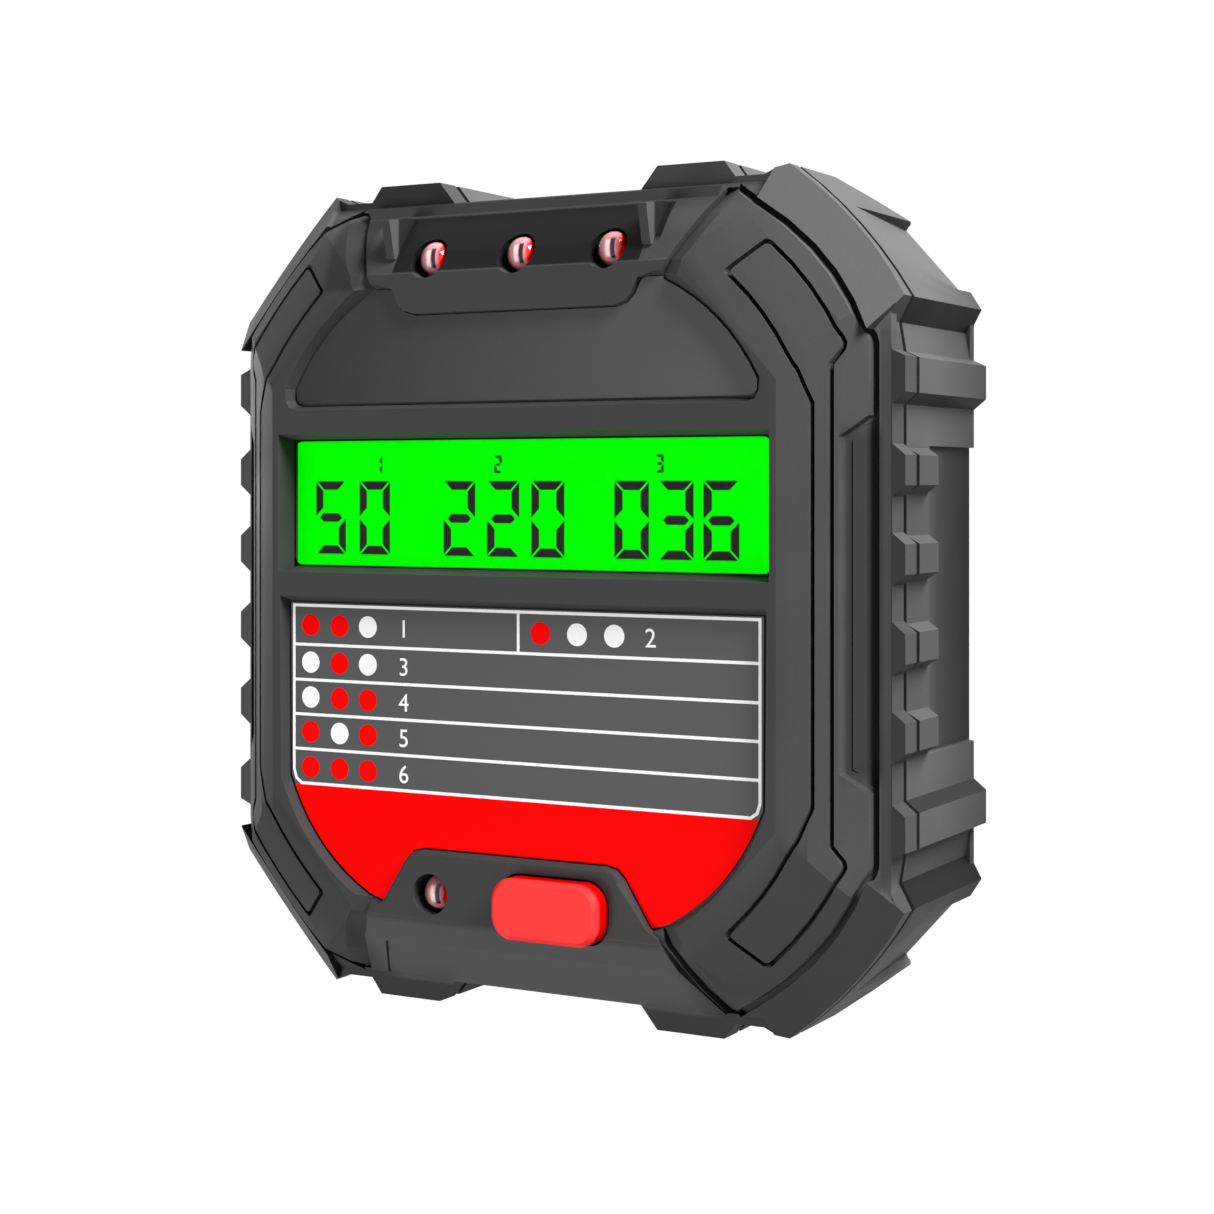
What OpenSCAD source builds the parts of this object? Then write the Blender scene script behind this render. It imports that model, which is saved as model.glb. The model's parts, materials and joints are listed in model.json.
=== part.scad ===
// Plug-in outlet tester: two moulded half shells with ribs that run on across the parting line,
// a display, four lamps and a push button in front, and a round two-pin plug at the back.
// X is right, Z is up and the face looks along -Y. The origin is the middle of the plug's end face.

/* [Case] */
// Half width of the case between its ribs
case_w = 31.7; // [31:0.1:38.1]
// Half height of the case between its bumpers
case_h = 34.1; // [33.5:0.1:41]
// How far down the side the cut corners reach
corner_cut = 8.86; // [8.5:0.02:9.2]
// How far the corner faces bow outwards
corner_bow = 0.7; // [0.2:0.1:1.2]
// Depth of the parting line behind the labels
part_y = 7.7; // [7.2:0.1:9.3]
// Depth of the rear edge of the side walls
side_y = 24.1; // [23.8:0.1:29]
// Depth of the rear face
rear_y = 26; // [25.6:0.1:31]
// Thickness of the shell walls
wall = 2.1; // [1.7:0.1:2.5]
// Gap at the parting line
part_gap = 0.65; // [0.05:0.05:0.8]
// Height of the lip that locates the shells
lip_h = 1.5; // [1:0.1:2]

/* [Face] */
// How far the bezel stands in front of the labels
bezel_rise = 0.87; // [0.6:0.01:1.2]
// Width of the sloped bezel at the sides
bezel_w = 7.25; // [7:0.05:7.5]
// Width of the sloped bezel at the top and bottom
bezel_h = 6.6; // [6.2:0.1:7]
// How far down its side the flat part's cut corners reach
flat_cut = 9.83; // [9.4:0.01:10.2]
// Depth of the edge where the bezel meets the side walls
bezel_y = 5.16; // [4.8:0.02:5.6]
// Depth of the ledge outside the raised band
ledge_drop = 0.45; // [0.2:0.05:0.7]
// Depth of the outer edge of the corner faces
corner_y = 6.85; // [6.2:0.05:7]
// Depth of the grooves of the bezel
groove_drop = 1.2; // [0.6:0.1:1.3]
// Width of the grooves
groove_w = 0.36; // [0.3:0.02:0.4]
// Thickness of the label films
label_t = 0.25; // [0.15:0.05:0.4]
// Gap round the label films
label_gap = 0.15; // [0.1:0.05:0.3]

/* [Ribs] */
// Height of the side ribs
rib_h = 1.1; // [0.8:0.1:1.4]
// Distance between two small ribs
rib_pitch = 7.06; // [6.6:0.02:7.4]
// Length of a small rib's foot
rib_foot = 4.2; // [3.8:0.1:4.6]
// Length of a small rib's crest
rib_crest = 2.4; // [1.8:0.1:3]
// Depth where the small ribs end
rib_end_y = 13.5; // [11.5:0.1:14.5]
// Height of the bumpers above the top and bottom edges
bumper_h = 1.9; // [1.5:0.1:2.3]
// Depth of the grip panels behind the small ribs
grip_depth = 0.35; // [0.2:0.05:0.6]
// How far the rear shell's corner faces draw in towards the back
corner_draft = 1.1; // [0.6:0.1:1.4]

/* [Display] */
// Half width of the visible display
lcd_w = 23.4; // [22.8:0.1:23.6]
// Lower edge of the visible display
lcd_z0 = 2.2; // [2:0.1:2.6]
// Upper edge of the visible display
lcd_z1 = 13.4; // [12.8:0.1:13.6]
// Depth of the window behind the labels
lcd_y = 0.95; // [0.8:0.05:1.1]
// Width of the rim round the window
lcd_rim = 1.15; // [1:0.05:1.2]

/* [Lamps] */
// Diameter of a lamp's lens
led_d = 3; // [2.8:0.1:3.2]
// Gap between a lens and its hole
led_gap = 0.25; // [0.1:0.05:0.3]
// Distance between two state lamps
led_pitch = 8.75; // [8.2:0.05:9.2]
// Distance of the state lamps from the top edge
led_drop = 5.3; // [5.1:0.1:5.7]

/* [Button] */
// Width of the button
button_w = 10.1; // [8.5:0.1:10.6]
// Height of the button
button_h = 5.1; // [4.4:0.1:5.6]
// Corner radius of the button
button_r = 1.9; // [0.8:0.1:2]
// How far the button stands out of its housing
button_rise = 1.8; // [1.2:0.1:2.4]
// Gap round the button
button_gap = 0.2; // [0.15:0.05:0.3]
// Sideways place of the button
button_x = 4.25; // [3.8:0.05:4.6]
// Distance of the button's middle from the bottom edge
button_up = 8.5; // [8.1:0.1:8.9]

/* [Board] */
// Depth of the board's front
board_y = 8.6; // [8.4:0.1:9.2]
// Thickness of the board
board_t = 1.6; // [1:0.1:1.6]

/* [Plug] */
// Diameter of the round plug body
plug_d = 37; // [35.6:0.1:37.6]
// Length of the round plug body
plug_len = 17; // [14.2:0.1:20.4]
// Diameter of a contact pin
pin_d = 4.8; // [4:0.05:5.8]
// Length of a contact pin in front of the plug
pin_len = 19; // [15.8:0.1:22.8]
// Distance between the contact pins
pin_pitch = 19; // [17:0.1:20]
// Bore of the earth sleeve
earth_bore_d = 4.9; // [4.8:0.05:5.2]
// Distance of the earth sleeve from the middle
earth_z = 10; // [9.6:0.1:10.4]
// Thickness of the flange that holds the plug body in the case
flange_t = 2.5; // [2:0.1:3]
// Thickness of the plate that clamps the contacts
retainer_t = 3; // [2.6:0.1:3.4]

/* [Fasteners] */
// Distance of the case screws from the sides
screw_in = 7.2; // [6.7:0.1:7.7]
// Distance of the case screws from the top and bottom edges
screw_drop = 13.6; // [13.1:0.1:14.1]
// Diameter of a case screw's shank
screw_d = 2.6; // [2.2:0.1:2.8]
// Diameter of a case screw's head
screw_head_d = 4.8; // [4.4:0.1:5]

/* [Hidden] */
$fn = 48;
eps = 0.01;
slide = 0.05;
plug_y = rear_y + plug_len;
corner_nx = 0.745;
corner_nz = 0.667;
case_c = corner_nx * case_w + corner_nz * (case_h - corner_cut);
flat_w = case_w - bezel_w;
flat_h = case_h - bezel_h;
flat_c = corner_nx * flat_w + corner_nz * (flat_h - flat_cut);
screw_x = case_w - screw_in;
screw_z = case_h - screw_drop;
led_z = case_h - led_drop;
button_z = button_up - case_h;
cavity_y = 2;
rear_wall = 3;
rear_cut = 2.5;
grip_h = case_h - 21.5;
corner_turn = atan2(corner_nx, corner_nz);
corner_mid = corner_nz * (case_w - 4.25) - corner_nx * (case_h - 4.1);
draw_x0 = corner_mid - 2.6;
draw_x1 = corner_mid + 5.6;
floor_y = rear_y - rear_wall;
lip_t = 1;
lip_gap = 0.1;
board_gap = 0.6;
post_r = screw_head_d / 2 + 1.2;
groove_round = 0.35;
corner_fall = 1.1;
band_gap = 0.55;
end_fall = 0.65;
end_slant = 0.514;
end_x = case_w - 16 - end_slant * (case_h - 7.9);
guard_x = 12.5;
guard_t = 0.8;
housing_y = -0.5;
button_face_y = -0.8;
led_crest_z = flat_h;
led_foot_z = case_h - 1.65;
led_foot_y = 3.85;
led_housing_w = 14.3;
led_base_y = 6.4;
trip_base_y = led_base_y - 0.7;
led_len = 6.15;
lamp_foot_r = led_d / 2 + 0.4;
foot_panel_z = 4 - case_h;
trip_led_x = -7.85;
trip_led_z = 8.7 - case_h;
board_back = board_y + board_t;
part_back = part_y + part_gap;
window_y = lcd_y + 0.5;
glass_y = cavity_y + slide;
glass_t = 2;
guide_t = 2.8;
frame_w = lcd_w + 1.9;
frame_z0 = lcd_z0 - 2.9;
frame_z1 = lcd_z1 + 3.1;
frame_wall = 1.2;
glass_w = lcd_w + 0.8;
glass_z0 = lcd_z0 - 1.2;
guide_y = glass_y + glass_t;
strip_z0 = lcd_z1 + 0.9;
strip_z1 = lcd_z1 + 1.85;
strip_w = lcd_w - 1.4;
button_flange_y = cavity_y + 0.4;
flange_w = button_w + 2;
flange_h = button_h + 1.6;
switch_w = 6;
switch_h = 3.2;
stem_r = 1.7;
stem_tip_y = board_y - 4.9;
cover_t = 0.3;
flange_r = plug_d / 2 + 5;
flange_y = floor_y - flange_t;
retainer_y = flange_y - retainer_t;
tail_y = retainer_y - 2;
tail_r = 1.5;
root_r = pin_d / 2 + 0.3;
strap_w = 5;
strap_t = 0.6;
sleeve_wall = 0.5;
sleeve_end = plug_y - 2.5;
retain_screw_r = flange_r - 2.9;
retain_screw_d = 2;
board_post_x = 19;
board_post_z = -11;
board_screw_d = 2;
small_head_d = 3.8;
lead_pitch = 2.54;
lead_d = 0.5;
wire_d = 1.8;
earth_wire_z = -6;

// Outlines
function flip(q, sx, sz) = [for (p = q) [sx * p[0], sz * p[1]]];
function rev(q) = [for (i = [len(q) - 1 : -1 : 0]) q[i]];
// A quarter outline from the top to the right side, mirrored to a closed ring
function ring(q) = concat(q, rev(flip(q, 1, -1)), flip(q, -1, -1), rev(flip(q, -1, 1)));
// A half outline on the right side, mirrored to the left
function pair(q) = concat(q, rev(flip(q, -1, 1)));
// A bowed line from a to b
function bow(a, b, sag, n = 6) =
    let (d = b - a, nrm = [-d[1], d[0]] / norm(d))
    [for (i = [0 : n]) let (t = i / n) a + d * t - nrm * sag * 4 * t * (1 - t)];
// An octagon: half width, half height and distance of the corners
function octagon(w, h, c) =
    [[(c - h * corner_nz) / corner_nx, h], [w, (c - w * corner_nx) / corner_nz]];

function rib_profile(z, foot, crest, base, rise) =
    [[base, z + foot / 2], [base + rise, z + crest / 2], [base + rise, z - crest / 2], [base, z - foot / 2]];
// A point given by its distances from the side and from the top edge
function corner(dx, dz) = [case_w - dx, case_h - dz];
// The edge of the case from the top bumper to the last rib
function edge(small_ribs) = concat(
    [corner(22.45, 0), corner(20.9, -bumper_h), corner(14.7, -bumper_h)],
    [corner(13.7, -0.55), corner(11.1, -0.55)],
    bow(corner(9.2, -1.4), corner(-0.7, 9.65), -corner_bow),
    [corner(0.4, 11.7), corner(0, 14), corner(-rib_h, 14.5), corner(-rib_h, 17.35), corner(0, 18.25)],
    small_ribs ? concat(rib_profile(rib_pitch * 1.5, rib_foot, rib_crest, case_w, rib_h),
        rib_profile(rib_pitch / 2, rib_foot, rib_crest, case_w, rib_h)) : []);
// The raised band of the bezel, from its end beside the lamp housing to the pocket at the side
band_end = [corner(16.9, 7.9), corner(13.2, 0.7)];
band_edge = concat([[1, case_h - 7.9], band_end[0]], bow(band_end[1], corner(1.4, 13), -1.4),
    [corner(1.3, 13.5), corner(1.3, 19.2), corner(3.1, 20.9)]);
// The block outside the band at a corner
corner_block = concat([corner(10.1, -1)], bow(corner(9.2, -1.4), corner(-0.7, 9.65), -corner_bow),
    [for (i = [6 : -1 : 1]) bow(band_end[1], corner(1.4, 13), -1.4)[i]]);
side_pocket = [corner(3.1, 20.9), corner(0.75, 19.2)];
pocket_floor = [[case_w - 3.2, 2.5], [case_w - 0.6, 6.1]];
// The outer and the inner edge of the panel inlaid in a corner and side
inlay_edge = concat([corner(12.3, 7.7), corner(9.3, 5)], bow(corner(8.8, 5.3), corner(2.8, 12.9), -0.4, 4),
    [corner(2.55, 13.5), corner(2.65, 14.1), corner(3.4, 15.3)]);
inlay_inner = concat([corner(5, 18.3), corner(6, 15.7)],
    bow(corner(6.8, 14.5), corner(11.7, 8.3), 0.3, 4));
inlay = concat(inlay_edge, rev(flip(inlay_edge, 1, -1)), rev(flip(inlay_inner, 1, -1)), inlay_inner);
upper_edge = concat([[led_housing_w, case_h - 7.7]], bow(corner(17.45, 8), corner(9.1, 16.3), -1, 8),
    [[case_w - 9.15, lcd_z1 + 3.5], [case_w - 9.4, lcd_z1 + 3.12], [case_w - 9.9, lcd_z1 + 2.95]]);
lower_edge = concat([[case_w - 8.5, lcd_z0 - 3]], flip(concat([corner(8.6, 17.9)],
    bow(corner(9.1, 16.7), corner(17.1, 8), 1, 8), [corner(18.7, 7.5)]), 1, -1));
// The places of the four lamps
lamp_places = [[-led_pitch, led_z, led_base_y], [0, led_z, led_base_y], [led_pitch, led_z, led_base_y],
    [trip_led_x, trip_led_z, trip_base_y]];
// The corner of a housing beside the end of the band
housing_end = corner(14.2, 0.3);
// The outlines of the two housings that stand in front of the labels
led_outline = pair([[9.7, case_h - 10.05], [10.8, case_h - 9.75], [11.4, case_h - 9.1],
    [12, case_h - 7.9], [led_housing_w, case_h - 7.2], housing_end]);
button_outline = pair([flip([housing_end], 1, -1)[0], [13.9, 7 - case_h], [12.9, 7.7 - case_h],
    [10.6, 11.4 - case_h], [9.9, 12.1 - case_h], [8.9, 12.35 - case_h]]);

// Extrusions along the three axes
module slab(y0, y1) translate([0, y1, 0]) rotate([90, 0, 0]) linear_extrude(y1 - y0) children();
module across(x0, x1) translate([x0, 0, 0]) rotate([90, 0, 90]) linear_extrude(x1 - x0) children();
module upright(z0, z1) translate([0, 0, z0]) linear_extrude(z1 - z0) children();
module rod(x, z, d, y0, y1) translate([x, y1, z]) rotate([90, 0, 0]) cylinder(d = d, h = y1 - y0);
module block(x0, x1, y0, y1, z0, z1) translate([x0, y0, z0]) cube([x1 - x0, y1 - y0, z1 - z0]);
module placed() translate([0, -plug_y, 0]) children();
module round_rect(w, h, r) {
    square([w - 2 * r, h], center = true);
    square([w, h - 2 * r], center = true);
    for (sx = [-1, 1], sz = [-1, 1]) translate([sx * (w / 2 - r), sz * (h / 2 - r)]) circle(r);
}

// Front shell
bezel_steps = [0, 0.3, 0.594, 0.888, 1];
bezel_depths = [-bezel_rise, 0.34, 1.9, 4.05, bezel_y];
module bezel(drop, edge_drop) hull() {
    for (i = [0 : 4]) let (t = bezel_steps[i], y = bezel_depths[i] + drop + (edge_drop - drop) * pow(t, 4))
        slab(y, y + eps) polygon(ring(octagon(flat_w + (case_w - 0.1 - flat_w) * t,
            flat_h + (case_h - flat_h) * t, flat_c + (case_c - flat_c) * t)));
    slab(bezel_y + 1.2, bezel_y + 1.3) polygon(ring(octagon(case_w - 0.1, case_h, case_c)));
}
// A line of a groove's width inside an outline with rounded corners
module groove_line() difference() {
    offset(r = groove_round, $fn = 24) offset(delta = -groove_round) children();
    offset(r = groove_round, $fn = 24) offset(delta = -groove_round - groove_w) children();
}
// The grooves round the inlaid panels and the raised band
module grooves() slab(-3, bezel_y + 1) {
    for (sx = [0, 1]) mirror([sx, 0]) groove_line() polygon(inlay);
    difference() {
        offset(delta = band_gap) polygon(ring(band_edge));
        polygon(ring(band_edge));
        for (sz = [0, 1]) mirror([0, sz]) polygon(pair(concat([[1, flat_h - 4]], band_end, [corner(13, -3)])));
    }
}
// The slope at an end of the band, which falls towards the housing beside it
module band_slope() intersection() {
    slab(-3, bezel_y + 1) polygon([corner(17.8, 8), corner(14.1, 0.4), corner(11, 0.4), corner(15, 8)]);
    multmatrix([[1, 0, 0, 0], [-end_fall, 1, end_fall * end_slant, end_fall * end_x], [0, 0, 1, 0]])
        across(case_w - 19, case_w - 10) polygon(concat([for (i = [0 : 4])
            [bezel_depths[i], flat_h + bezel_h * bezel_steps[i]]],
            [[-9, case_h], [-9, case_h - 9], [bezel_depths[0], case_h - 9]]));
}
// The pocket at a side, whose floor falls away outwards
module pocket() intersection() {
    slab(-3, bezel_y + 1) polygon(concat(side_pocket, rev(flip(side_pocket, 1, -1))));
    upright(-case_h, case_h) polygon(concat(pocket_floor, [[case_w - 0.6, -3], [case_w - 3.2, -3]]));
}
// What is cut from the ledge and the flange in front of a flat corner face
module corner_face() rotate([0, corner_turn, 0]) translate([0, 0, case_c + corner_bow]) across(-20, 20)
    polygon([[corner_y - 4 * corner_fall, -4], [corner_y + 3 * corner_fall, 3], [-5, 3], [-5, -4]]);
module bezel_face() difference() {
    union() {
        intersection() {
            bezel(0, 0);
            slab(-3, bezel_y + 1) polygon(ring(band_edge));
        }
        difference() {
            union() {
                bezel(ledge_drop, 0.1);
                slab(bezel_y + 0.1, part_y) polygon(ring(edge(true)));
                for (sx = [0, 1], sz = [0, 1]) mirror([sx, 0, 0]) mirror([0, 0, sz])
                    slab(0, part_y) polygon(corner_block);
            }
            for (sx = [0, 1], sz = [0, 1]) mirror([sx, 0, 0]) mirror([0, 0, sz]) corner_face();
        }
    }
    difference() {
        grooves();
        bezel(groove_drop, groove_drop);
    }
    for (sx = [0, 1]) mirror([sx, 0, 0]) pocket();
    for (sx = [0, 1], sz = [0, 1]) mirror([sx, 0, 0]) mirror([0, 0, sz]) band_slope();
}
// The inside of both shells where they meet, drawn in by an inset
module cavity_outline(inset) polygon(ring(octagon(case_w - wall - inset, case_h - wall - inset,
    case_c - wall - 0.15 - inset)));
module front_cavity() hull() {
    slab(cavity_y, cavity_y + eps) polygon(ring(octagon(flat_w + 0.95, flat_h - 1.5, flat_c + 1.5)));
    slab(bezel_y, bezel_y + eps) polygon(ring(octagon(case_w - 3.1, case_h - 3.6, case_c - 3.65)));
    slab(part_y - 1.6, part_y + eps) cavity_outline(0);
}
module recess(y, outline, grow) hull() {
    slab(y - eps, y) polygon(outline);
    slab(-bezel_rise - 1.2, -bezel_rise - 1.2 + eps) offset(delta = grow) polygon(outline);
}
// The sunk slope that carries the state lamps, narrower at its upper end
module led_panel() intersection() {
    slab(-3, bezel_y) polygon(pair([[led_housing_w - 1.1, led_crest_z - 0.1],
        [led_housing_w - 3, led_foot_z - 1.2], [led_housing_w - 3.5, led_foot_z - 0.6],
        [led_housing_w - 4.3, led_foot_z - 0.35]]));
    across(-20, 20) polygon([[housing_y, led_crest_z], [led_foot_y + 0.1, led_foot_z - 0.5],
        [led_foot_y - 0.4, led_foot_z - 0.35], [housing_y, led_foot_z], [housing_y - 1, led_foot_z],
        [housing_y - 1, led_crest_z]]);
}
module led_housing() {
    difference() {
        intersection() {
            slab(housing_y, bezel_y) polygon(led_outline);
            across(-20, 20) polygon([[housing_y - 1, 0], [housing_y, led_crest_z], [led_foot_y, led_foot_z],
                [led_foot_y, case_h], [9, case_h], [9, 0]]);
        }
        led_panel();
    }
    for (s = [-1, 1]) across(s * guard_x - guard_t / 2, s * guard_x + guard_t / 2)
        polygon([[housing_y + 0.6, led_crest_z + 1.4], [housing_y - 0.2, led_foot_z - 0.3],
            [led_foot_y + 0.5, led_foot_z + 0.5], [led_foot_y + 0.5, led_foot_z - 0.4],
            [housing_y + 1.8, led_crest_z + 1.4]]);
}
module button_housing() difference() {
    intersection() {
        slab(button_face_y, bezel_y) polygon(button_outline);
        across(-20, 20) polygon([[button_face_y, 0], [button_face_y, 6.5 - case_h], [0.3, 4.35 - case_h],
            [4.8, -case_h], [9, -case_h], [9, 0]]);
    }
    intersection() {
        slab(-2, bezel_y) polygon(pair([[13.4, foot_panel_z], [15.9, -case_h - eps]]));
        across(-20, 20) polygon([[1, foot_panel_z], [5.1, -case_h], [-2, -case_h], [-2, foot_panel_z]]);
    }
}
module front_posts() {
    for (sx = [-1, 1], sz = [-1, 1]) {
        rod(sx * screw_x, sz * screw_z, screw_d + 0.8, cavity_y, part_y);
        rod(sx * screw_x, sz * screw_z, 2 * post_r, bezel_y - 0.6, part_back);
    }
    for (sx = [-1, 1]) rod(sx * board_post_x, board_post_z, 5, cavity_y - 0.3, board_y);
}
module front_case() color("#4b4b4b") placed() difference() {
    union() {
        difference() {
            union() {
                difference() {
                    bezel_face();
                    recess(label_t, pair(upper_edge), 0.9);
                    recess(label_t, pair(lower_edge), 0.9);
                }
                led_housing();
                button_housing();
            }
            front_cavity();
        }
        front_posts();
    }
    recess(lcd_y, [[-lcd_w, lcd_z0], [lcd_w, lcd_z0], [lcd_w, lcd_z1], [-lcd_w, lcd_z1]], 0.75);
    block(-lcd_w, lcd_w, 0, 3, lcd_z0, lcd_z1);
    block(-lcd_w - lcd_rim - slide, lcd_w + lcd_rim + slide, window_y, 3,
        lcd_z0 - lcd_rim - slide, lcd_z1 + lcd_rim + slide);
    for (i = [-1 : 1]) rod(i * led_pitch, led_z, led_d + 2 * led_gap, -3, bezel_y + 1);
    rod(trip_led_x, trip_led_z, led_d + 2 * led_gap, -3, bezel_y + 1);
    slab(-3, bezel_y) translate([button_x, button_z])
        round_rect(button_w + 2 * button_gap, button_h + 2 * button_gap, button_r + button_gap);
    slab(button_flange_y - slide, bezel_y + 1) translate([button_x, button_z])
        round_rect(flange_w + 2 * button_gap, flange_h + 2 * button_gap, button_r + 0.4 + button_gap);
    for (sx = [-1, 1], sz = [-1, 1])
        rod(sx * screw_x, sz * screw_z, screw_d + 2 * slide, cavity_y + 1, part_back + 1);
    for (sx = [-1, 1])
        rod(sx * board_post_x, board_post_z, board_screw_d + 2 * slide, board_y - 5, board_y + 1);
}

// Rear shell
module small_rib(z) intersection() {
    slab(part_back, rib_end_y) polygon(rib_profile(z, rib_foot, rib_crest, case_w - 0.5, rib_h + 0.5));
    upright(z - rib_foot, z + rib_foot) polygon([[case_w - 1, part_back], [case_w + rib_h + 1, part_back],
        [case_w + rib_h + 1, rib_end_y - 1.3], [case_w - 1, rib_end_y]]);
}
module grip_recess() upright(-grip_h, grip_h) polygon(concat([[case_w + 3, rib_end_y]],
    [for (i = [0 : 8]) let (t = i / 8)
        [case_w - grip_depth * (1 + t * t), rib_end_y + (rear_y + 1 - rib_end_y) * t]],
    [[case_w + 3, rear_y + 1]]));
// The drawn-in part of a corner face, between the ridge at its lower end and the pad at its upper end
module corner_draw() rotate([0, corner_turn, 0]) translate([0, 0, case_c]) across(draw_x0, draw_x1)
    polygon([[part_back, corner_bow + 0.1], [side_y, corner_bow - corner_draft],
        [rear_y + 1, corner_bow - corner_draft - 0.15], [rear_y + 1, 5], [part_back, 5]]);
// The slope that takes the point of a corner down towards the back
module corner_slope() across(case_w - 11.3, case_w)
    polygon([[side_y - 9, case_h + 1.5], [side_y, case_h - 2], [rear_y + 1, case_h - 2.8],
        [rear_y + 1, case_h + 4], [side_y - 9, case_h + 4]]);
module rear_case() color("#474747") placed() difference() {
    union() {
        difference() {
            union() {
                slab(part_back, side_y) polygon(ring(edge(false)));
                hull() {
                    slab(side_y - 1, side_y) polygon(ring(octagon(case_w, case_h, case_c)));
                    slab(rear_y - eps, rear_y)
                        polygon(ring(octagon(case_w - rear_cut, case_h - rear_cut, case_c - rear_cut)));
                }
            }
            for (sx = [0, 1], sz = [0, 1]) mirror([sx, 0, 0]) mirror([0, 0, sz]) {
                corner_draw();
                corner_slope();
            }
            for (sx = [0, 1]) mirror([sx, 0, 0]) grip_recess();
            slab(part_y - 1, floor_y) cavity_outline(0);
        }
        for (sx = [0, 1], k = [-1.5 : 1 : 1.5]) mirror([sx, 0, 0]) small_rib(k * rib_pitch);
        for (sx = [-1, 1], sz = [-1, 1])
            rod(sx * screw_x, sz * screw_z, 2 * post_r, part_back, floor_y + 1);
        difference() {
            union() {
                slab(part_y - lip_h, part_back + 1) cavity_outline(lip_gap);
                slab(part_back, part_back + 2) cavity_outline(-0.3);
            }
            slab(part_y - lip_h - 1, part_back + 3) cavity_outline(lip_t);
            for (p = lamp_places) rod(p[0], p[1], 2 * lamp_foot_r + 0.4, part_y - lip_h - 1, part_back + 3);
        }
    }
    rod(0, 0, plug_d + 0.4, floor_y - 1, rear_y + 1);
    for (sx = [-1, 1], sz = [-1, 1]) {
        rod(sx * screw_x, sz * screw_z, screw_d + 2 * slide, 0, rear_y + 1);
        rod(sx * screw_x, sz * screw_z, screw_head_d + 4 * slide, rear_y - 5, rear_y + 1);
    }
    for (a = [45, 225]) rod(retain_screw_r * cos(a), retain_screw_r * sin(a), retain_screw_d + 2 * slide,
        floor_y - 1, rear_y - 0.5);
}

// Labels
module upper_label() color("#444444") placed() slab(0, label_t) difference() {
    offset(delta = -label_gap) polygon(pair(upper_edge));
    offset(delta = label_gap) polygon(led_outline);
}
module lower_label() color("#cc2222") placed() slab(0, label_t) difference() {
    offset(delta = -label_gap) polygon(pair(lower_edge));
    offset(delta = label_gap) polygon(button_outline);
}

// Display
module lcd_window() color("#ccffcc") placed() {
    block(slide - lcd_w, lcd_w - slide, lcd_y, window_y + eps, lcd_z0 + slide, lcd_z1 - slide);
    block(-lcd_w - lcd_rim, lcd_w + lcd_rim, window_y, cavity_y, lcd_z0 - lcd_rim, lcd_z1 + lcd_rim);
}
module lcd_glass() color("#66dd66") placed() {
    block(-glass_w, glass_w, glass_y, glass_y + glass_t / 2, glass_z0, strip_z1);
    block(-glass_w, glass_w, glass_y + glass_t / 2, guide_y, glass_z0, lcd_z1 + 0.7);
}
module lcd_frame() color("#f0f0e8") placed() difference() {
    block(-frame_w, frame_w, glass_y, board_y, frame_z0, frame_z1);
    block(-glass_w - 0.2, glass_w + 0.2, glass_y - 1, guide_y + guide_t,
        frame_z0 + frame_wall, frame_z1 - frame_wall);
    block(-strip_w - 0.4, strip_w + 0.4, glass_y, board_y + 1, strip_z0 - slide, frame_z1 - frame_wall);
}
module light_guide() color("#e8ffe8") placed()
    block(2 - lcd_w, lcd_w - 2, guide_y, guide_y + guide_t, glass_z0 + 0.2, lcd_z1 + 0.6);
module backlight_leds() color("#fff7c0") placed() for (s = [-1, 1])
    translate([s * (lcd_w - 0.8), 0, (lcd_z0 + lcd_z1) / 2])
        block(-1.1, 1.1, guide_y + 0.4, guide_y + guide_t, -2, 2);
module zebra_strip() color("#e07090") placed()
    block(-strip_w, strip_w, glass_y + glass_t / 2, board_y, strip_z0, strip_z1);

// Lamps
module lamp(x, z, y) placed() translate([x, y, z]) rotate([90, 0, 0]) rotate_extrude()
    polygon(concat([[0, 0], [lamp_foot_r, 0], [lamp_foot_r, 0.9], [led_d / 2, 0.9]],
        [for (a = [0 : 15 : 90]) [led_d / 2 * cos(a), led_len - led_d / 2 * (1 - sin(a))]]));
module left_led() color("#b98086") lamp(-led_pitch, led_z, led_base_y);
module middle_led() color("#b98086") lamp(0, led_z, led_base_y);
module right_led() color("#b98086") lamp(led_pitch, led_z, led_base_y);
module trip_led() color("#b98086") lamp(trip_led_x, trip_led_z, trip_base_y);
module led_leads() color("silver") placed() for (p = lamp_places, s = [-1, 1])
    rod(p[0] + s * lead_pitch / 2, p[1], lead_d, p[2], board_back + 0.8);
module lead_holes(d) for (p = lamp_places, s = [-1, 1])
    rod(p[0] + s * lead_pitch / 2, p[1], d, 0, board_back + 1);
module led_spacers() color("#222222") placed() difference() {
    union() {
        block(-led_pitch - 2.4, led_pitch + 2.4, led_base_y, board_y, led_z - 1.8, led_z + 1.6);
        block(trip_led_x - 2.4, trip_led_x + 2.4, trip_base_y, board_y, trip_led_z - 1.8, trip_led_z + 1.8);
    }
    lead_holes(lead_d + 0.2);
}

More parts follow.
